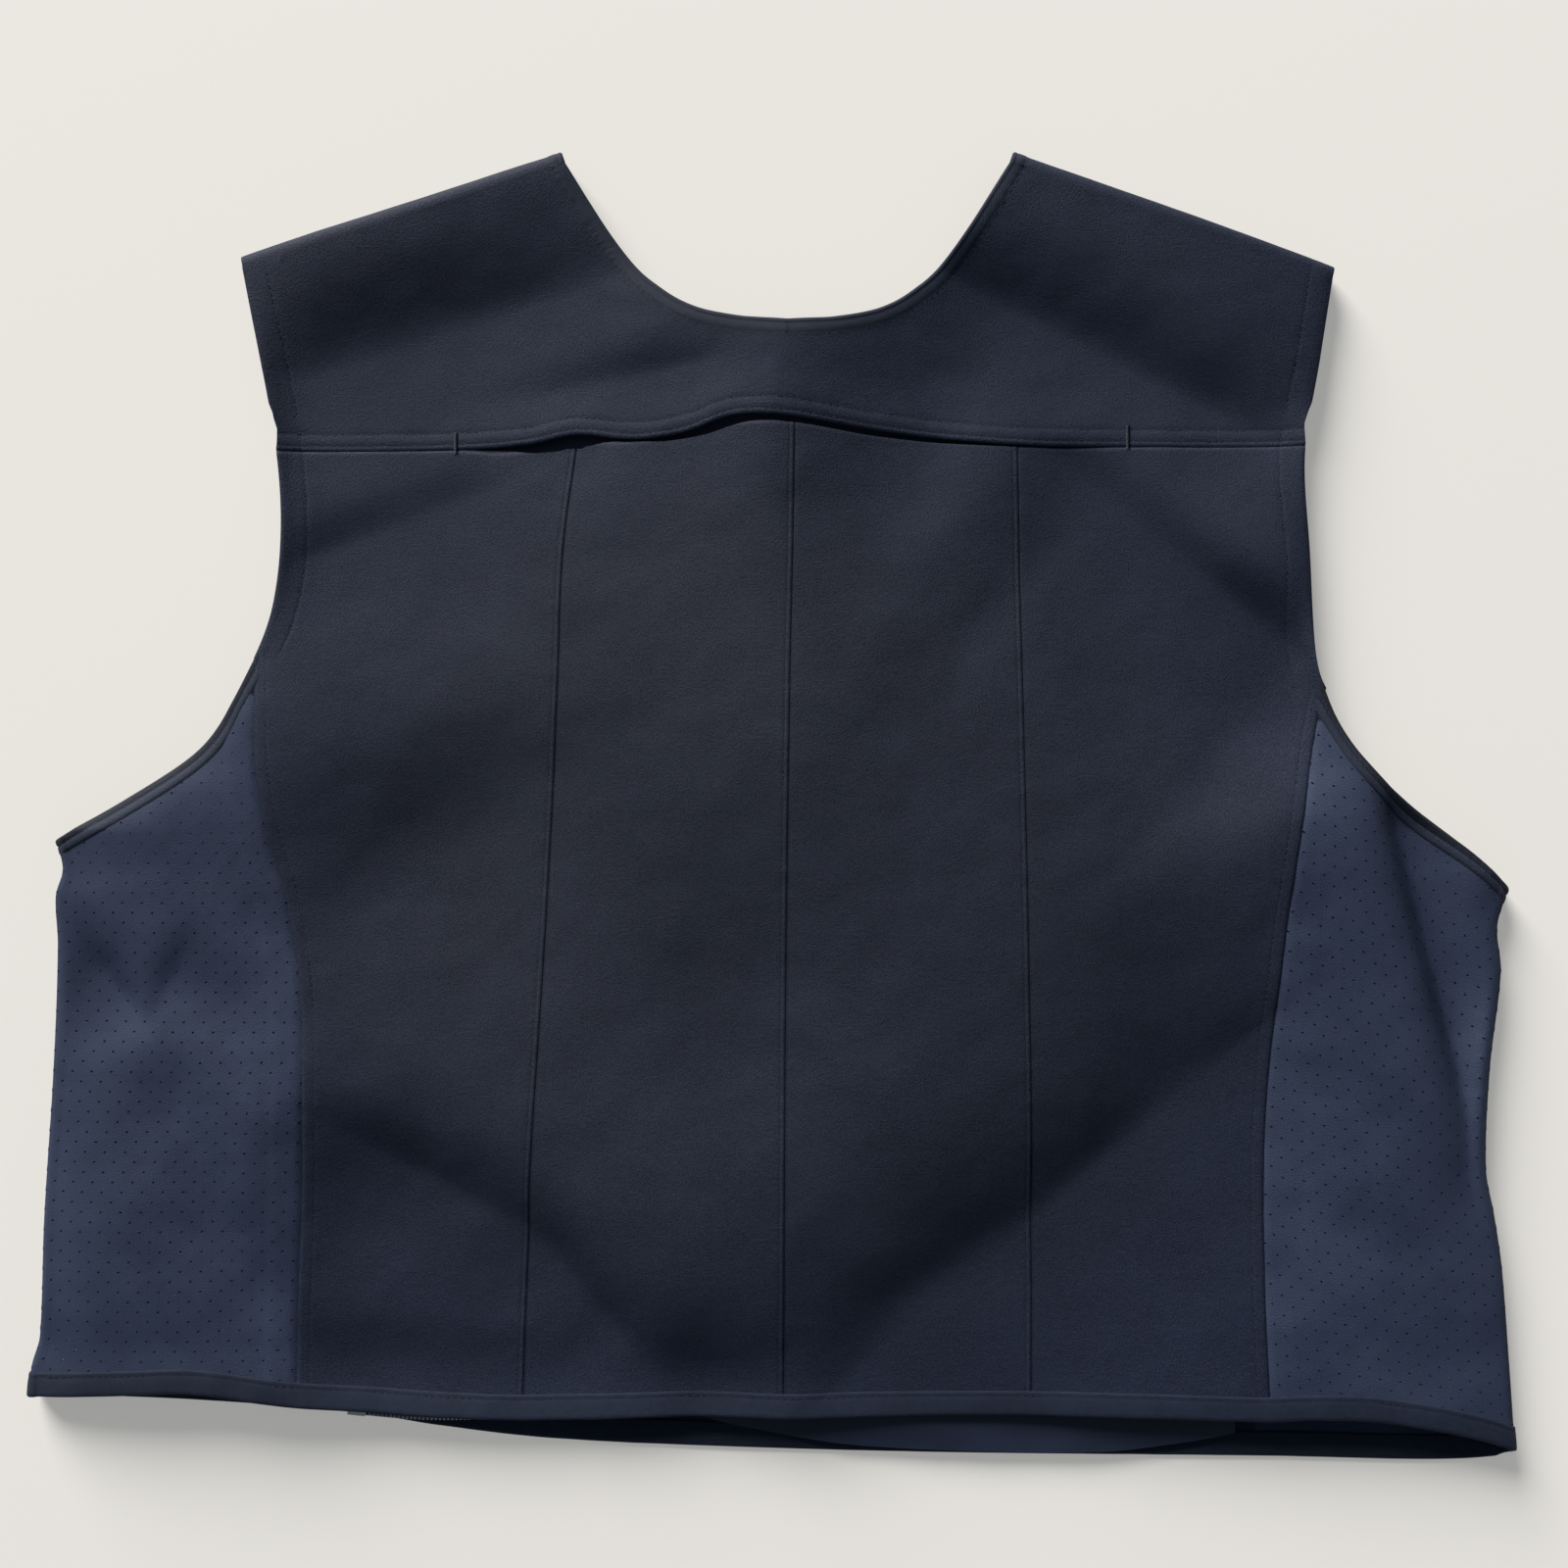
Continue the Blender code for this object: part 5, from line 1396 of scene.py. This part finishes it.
# The front's pocket cloth: smooth plain weave, sewn round the inside of the front. It bags out over
# the hem band in the middle and shows in the mouth of the hem.
LINING_EDGE = table(LineRow,
    (-0.1740, -0.2360), (-0.1200, -0.2390), (-0.0600, -0.2400), (-0.0215, -0.2515), (0.0290, -0.2605),
    (0.0700, -0.2632), (0.1360, -0.2640), (0.1750, -0.2590), (0.2030, -0.2530)
)
LINING_TOP = 0.118
LINING_INSET = 0.012
LINING_BAG = 0.0010
BAG_SHARE = 0.3
HEM_STEP_EASE = 0.008
LINING_SWELL = 0.0011
lining_edge_y = through(LINING_EDGE)


def lining_side_x(side, y):
    return front_side_x(side, y) - side * LINING_INSET


LINING_GAP = 0.0006
LINING_WALL = 0.0007
SWELL_SIZE = (0.034, 0.022)
SWELL_LAYER = 5.0


def lining_place(u, v):
    x = mixed(lining_side_x(LEFT, BODY_LOW_Y), lining_side_x(RIGHT, BODY_LOW_Y), u)
    y = mixed(lining_edge_y(x), LINING_TOP, v)
    x = mixed(lining_side_x(LEFT, y), lining_side_x(RIGHT, y), u)
    over_hem = eased(front_hem_y(x) + HEM_WIDTH + HEM_STEP_EASE - y, 0, HEM_STEP_EASE)
    ground = mixed(TWILL, BAND, over_hem) + LINING_GAP
    bulge = 0.6 + noise.noise(Vector((x / SWELL_SIZE[0], y / SWELL_SIZE[1], SWELL_LAYER)))
    swell = LINING_SWELL * bulge * (1 - eased(v, 0, 0.5))
    return Vector((x, y, ground + LINING_BAG * (1 - eased(v, 0, BAG_SHARE)) + max(swell, 0))), (x, y)


lining_rows = spread(0, 0.14, 26) + spread(0.14, 1, 40)[1:]
bm = cloth_grid(spread(0, 1, 170), lining_rows, lining_place)
front_cloth = make_piece("front_lining_cloth", bm, [lining], wall=LINING_WALL,
                         replaces=["front_lining"])


# The end of the pocket's zip, on the hem band at the left: a coil zip of woven tape, nylon teeth in a
# chain and a bent metal end stop. The slider is out of sight under the back.
ZIP_LINE = table(LineRow,
    (-0.1748, -0.2474), (-0.1500, -0.2496), (-0.1220, -0.2498), (-0.0700, -0.2445)
)
ZIP_TAPE = 0.0010
ZIP_TAPE_WIDTH = 0.0052
ZIP_TAPE_SHIFT = 0.0014
TOOTH_PITCH = 0.0017
TOOTH_WIDTH = 0.0013
TOOTH_LENGTH = 0.0019
TOOTH_HEIGHT = 0.0016
STOP_LENGTH = 0.0076
STOP_WIDTH = 0.0026
STOP_HEIGHT = 0.0008
STOP_CORNER = 0.00028
STOP_GAP = 0.0008
SLIDER_LENGTH = 0.0090
SLIDER_WIDTH = 0.0046
SLIDER_SHIFT = 0.0007
SLIDER_HEIGHT = 0.0030
SLIDER_CORNER = 0.0006
SLIDER_RISE = 0.0006
zip_y = through(ZIP_LINE)
TAPE_LIFT = BAND + 0.0009
TOOTH_LIFT = TAPE_LIFT + ZIP_TAPE / 2 + TOOTH_HEIGHT / 2


def zip_turn(x):
    step = 0.002
    return math.atan2(zip_y(x + step) - zip_y(x - step), 2 * step)


def zip_spot(x, lift, size):
    """A place on the zip's line, turned along it, for a part of a given size."""
    spot = Matrix.Translation((x, zip_y(x), lift)) @ Matrix.Rotation(zip_turn(x), 4, "Z")
    return spot @ Matrix.Diagonal((*size, 1))


DUST_GRAIN = (0.0007, 0.0007, 0.0007)
NYLON_DARK = (0.20, 0.21, 0.23)
NYLON_LIGHT = (0.46, 0.48, 0.50)
SCUFF_GRAIN = (0.0020, 0.0003, 0.0006)
SCUFF_DEPTH = 0.00005
METAL_DARK = (0.52, 0.50, 0.47)
METAL_LIGHT = (0.80, 0.78, 0.74)


def make_nylon():
    """Satin nylon, a little dusty."""
    made, shader, place = new_material("zip_coil_nylon", in_cloth=False)
    dust = place.grains(DUST_GRAIN, 3.0)
    fill(shader, {"Base Color": dust.tinted(NYLON_DARK, NYLON_LIGHT), "Roughness": 0.32 + 0.2 * dust})
    return made


def make_zip_metal():
    """Dull plated metal, scuffed along the zip."""
    made, shader, place = new_material("zip_metal", in_cloth=False)
    scuffs = place.grains(SCUFF_GRAIN, 3.0)
    fill(shader, {"Base Color": scuffs.tinted(METAL_DARK, METAL_LIGHT), "Roughness": 0.26 + 0.25 * scuffs,
                  "Normal": scuffs.bump(SCUFF_DEPTH, 0.5), "Metallic": 1.0})
    return made


def zip_block(x, lift, size, corner, aside=0.0):
    """A block of metal on the zip's line, with its edges rounded."""
    bm = bmesh.new()
    spot = Matrix.Translation((0, aside, 0)) @ zip_spot(x, lift, size)
    bmesh.ops.create_cube(bm, size=1, matrix=spot)
    bmesh.ops.bevel(bm, geom=bm.edges[:], offset=corner, offset_type="OFFSET", segments=3, profile=0.5,
                    affect="EDGES", material=-1)
    return bm


def tape_place(u, v):
    x = mixed(ZIP_LINE[0].x, ZIP_LINE[-1].x, u)
    y = zip_y(x) + ZIP_TAPE_SHIFT + (v - 0.5) * ZIP_TAPE_WIDTH
    return Vector((x, y, TAPE_LIFT)), (x, y)


bm = cloth_grid(spread(0, 1, 90), spread(0, 1, 6), tape_place)
make_piece("zip_tape", bm, [lining], wall=ZIP_TAPE * 0.8, replaces=["zipper_tape"])
bm = bmesh.new()
coil_start, coil_end = ZIP_LINE[0].x + STOP_LENGTH + STOP_GAP, ZIP_LINE[-1].x - SLIDER_LENGTH
for n in range(int((coil_end - coil_start) / TOOTH_PITCH)):
    x = coil_start + (n + 0.5) * TOOTH_PITCH
    spot = zip_spot(x, TOOTH_LIFT, (TOOTH_WIDTH, TOOTH_LENGTH, TOOTH_HEIGHT))
    bmesh.ops.create_icosphere(bm, subdivisions=2, radius=0.5, matrix=spot)
make_piece("zip_coil", bm, [make_nylon()], replaces=["zipper_coil"])
metal = make_zip_metal()
bm = zip_block(ZIP_LINE[0].x + STOP_LENGTH / 2, TOOTH_LIFT, (STOP_LENGTH, STOP_WIDTH, STOP_HEIGHT), STOP_CORNER)
make_piece("zip_end_stop", bm, [metal], replaces=["zipper_stop"])
bm = zip_block(ZIP_LINE[-1].x - SLIDER_LENGTH / 2, TOOTH_LIFT + SLIDER_RISE,
               (SLIDER_LENGTH, SLIDER_WIDTH, SLIDER_HEIGHT), SLIDER_CORNER, SLIDER_SHIFT)
make_piece("zip_slider", bm, [metal], replaces=["zipper_slider"])


# Soft studio light over a pale table, and the camera straight above, as in the photograph. The table
# glows a little, but not under the mesh, where its glow would show through the eyelets.
FLOOR_COLOUR = (0.50, 0.481, 0.454)
FLOOR_GLOW = (0.302, 0.294, 0.278)
COVERED_REACH_SQUARED = 0.0812
COVERED_TOP = -0.022
COVERED_LOW = -0.232
floor_bm = bmesh.new()
bmesh.ops.create_grid(floor_bm, x_segments=1, y_segments=1, size=3)
floor_mesh = bpy.data.meshes.new("floor")
floor_bm.to_mesh(floor_mesh)
floor_bm.free()
floor = bpy.data.objects.new("floor", floor_mesh)
bpy.context.scene.collection.objects.link(floor)
floor_paint, shader, place = new_material("pale_floor", in_cloth=False)
across, up = place.number(0), place.number(1)
covered = (COVERED_REACH_SQUARED - across * across).between(0.0, 0.002)
covered = covered * (COVERED_TOP - up).between(0.0, 0.006) * (up - COVERED_LOW).between(0.0, 0.006)
fill(shader, {"Base Color": (*FLOOR_COLOUR, 1), "Roughness": 0.9,
              "Emission Color": covered.tinted(FLOOR_GLOW, (0, 0, 0)), "Emission Strength": 1.0})
floor_mesh.materials.append(floor_paint)

CAMERA_HEIGHT = 0.700
PHOTO_PLANE = 0.010
PHOTO_WIDTH = 0.640
SENSOR_WIDTH = 36
camera_data = bpy.data.cameras.new("camera")
camera_data.sensor_width = SENSOR_WIDTH
camera_data.lens = SENSOR_WIDTH * (CAMERA_HEIGHT - PHOTO_PLANE) / PHOTO_WIDTH
camera = bpy.data.objects.new("camera", camera_data)
camera.location = (0.0049, 0.0108, CAMERA_HEIGHT)
bpy.context.scene.collection.objects.link(camera)
bpy.context.scene.camera = camera

KEY_AZIMUTH = math.radians(-27)
KEY_ELEVATION = math.radians(21)
KEY_DISTANCE = 21.0
KEY_SIZE = 12.0
KEY_POWER = 11400
key_light = bpy.data.lights.new("key", "AREA")
key_light.shape = "DISK"
key_light.size = KEY_SIZE
key_light.energy = KEY_POWER
key_light.color = (1.0, 0.978, 0.935)
key = bpy.data.objects.new("key", key_light)
towards = Vector((math.sin(KEY_AZIMUTH), math.cos(KEY_AZIMUTH), math.tan(KEY_ELEVATION))).normalized()
key.location = towards * KEY_DISTANCE
key.rotation_euler = towards.to_track_quat("Z", "Y").to_euler()
bpy.context.scene.collection.objects.link(key)

world = bpy.data.worlds.new("studio")
bpy.context.scene.world = world
world.use_nodes = True
world.node_tree.nodes["Background"].inputs["Color"].default_value = (0.62, 0.80, 1.0, 1)
world.node_tree.nodes["Background"].inputs["Strength"].default_value = 0.15
bpy.context.scene.view_settings.view_transform = "Standard"
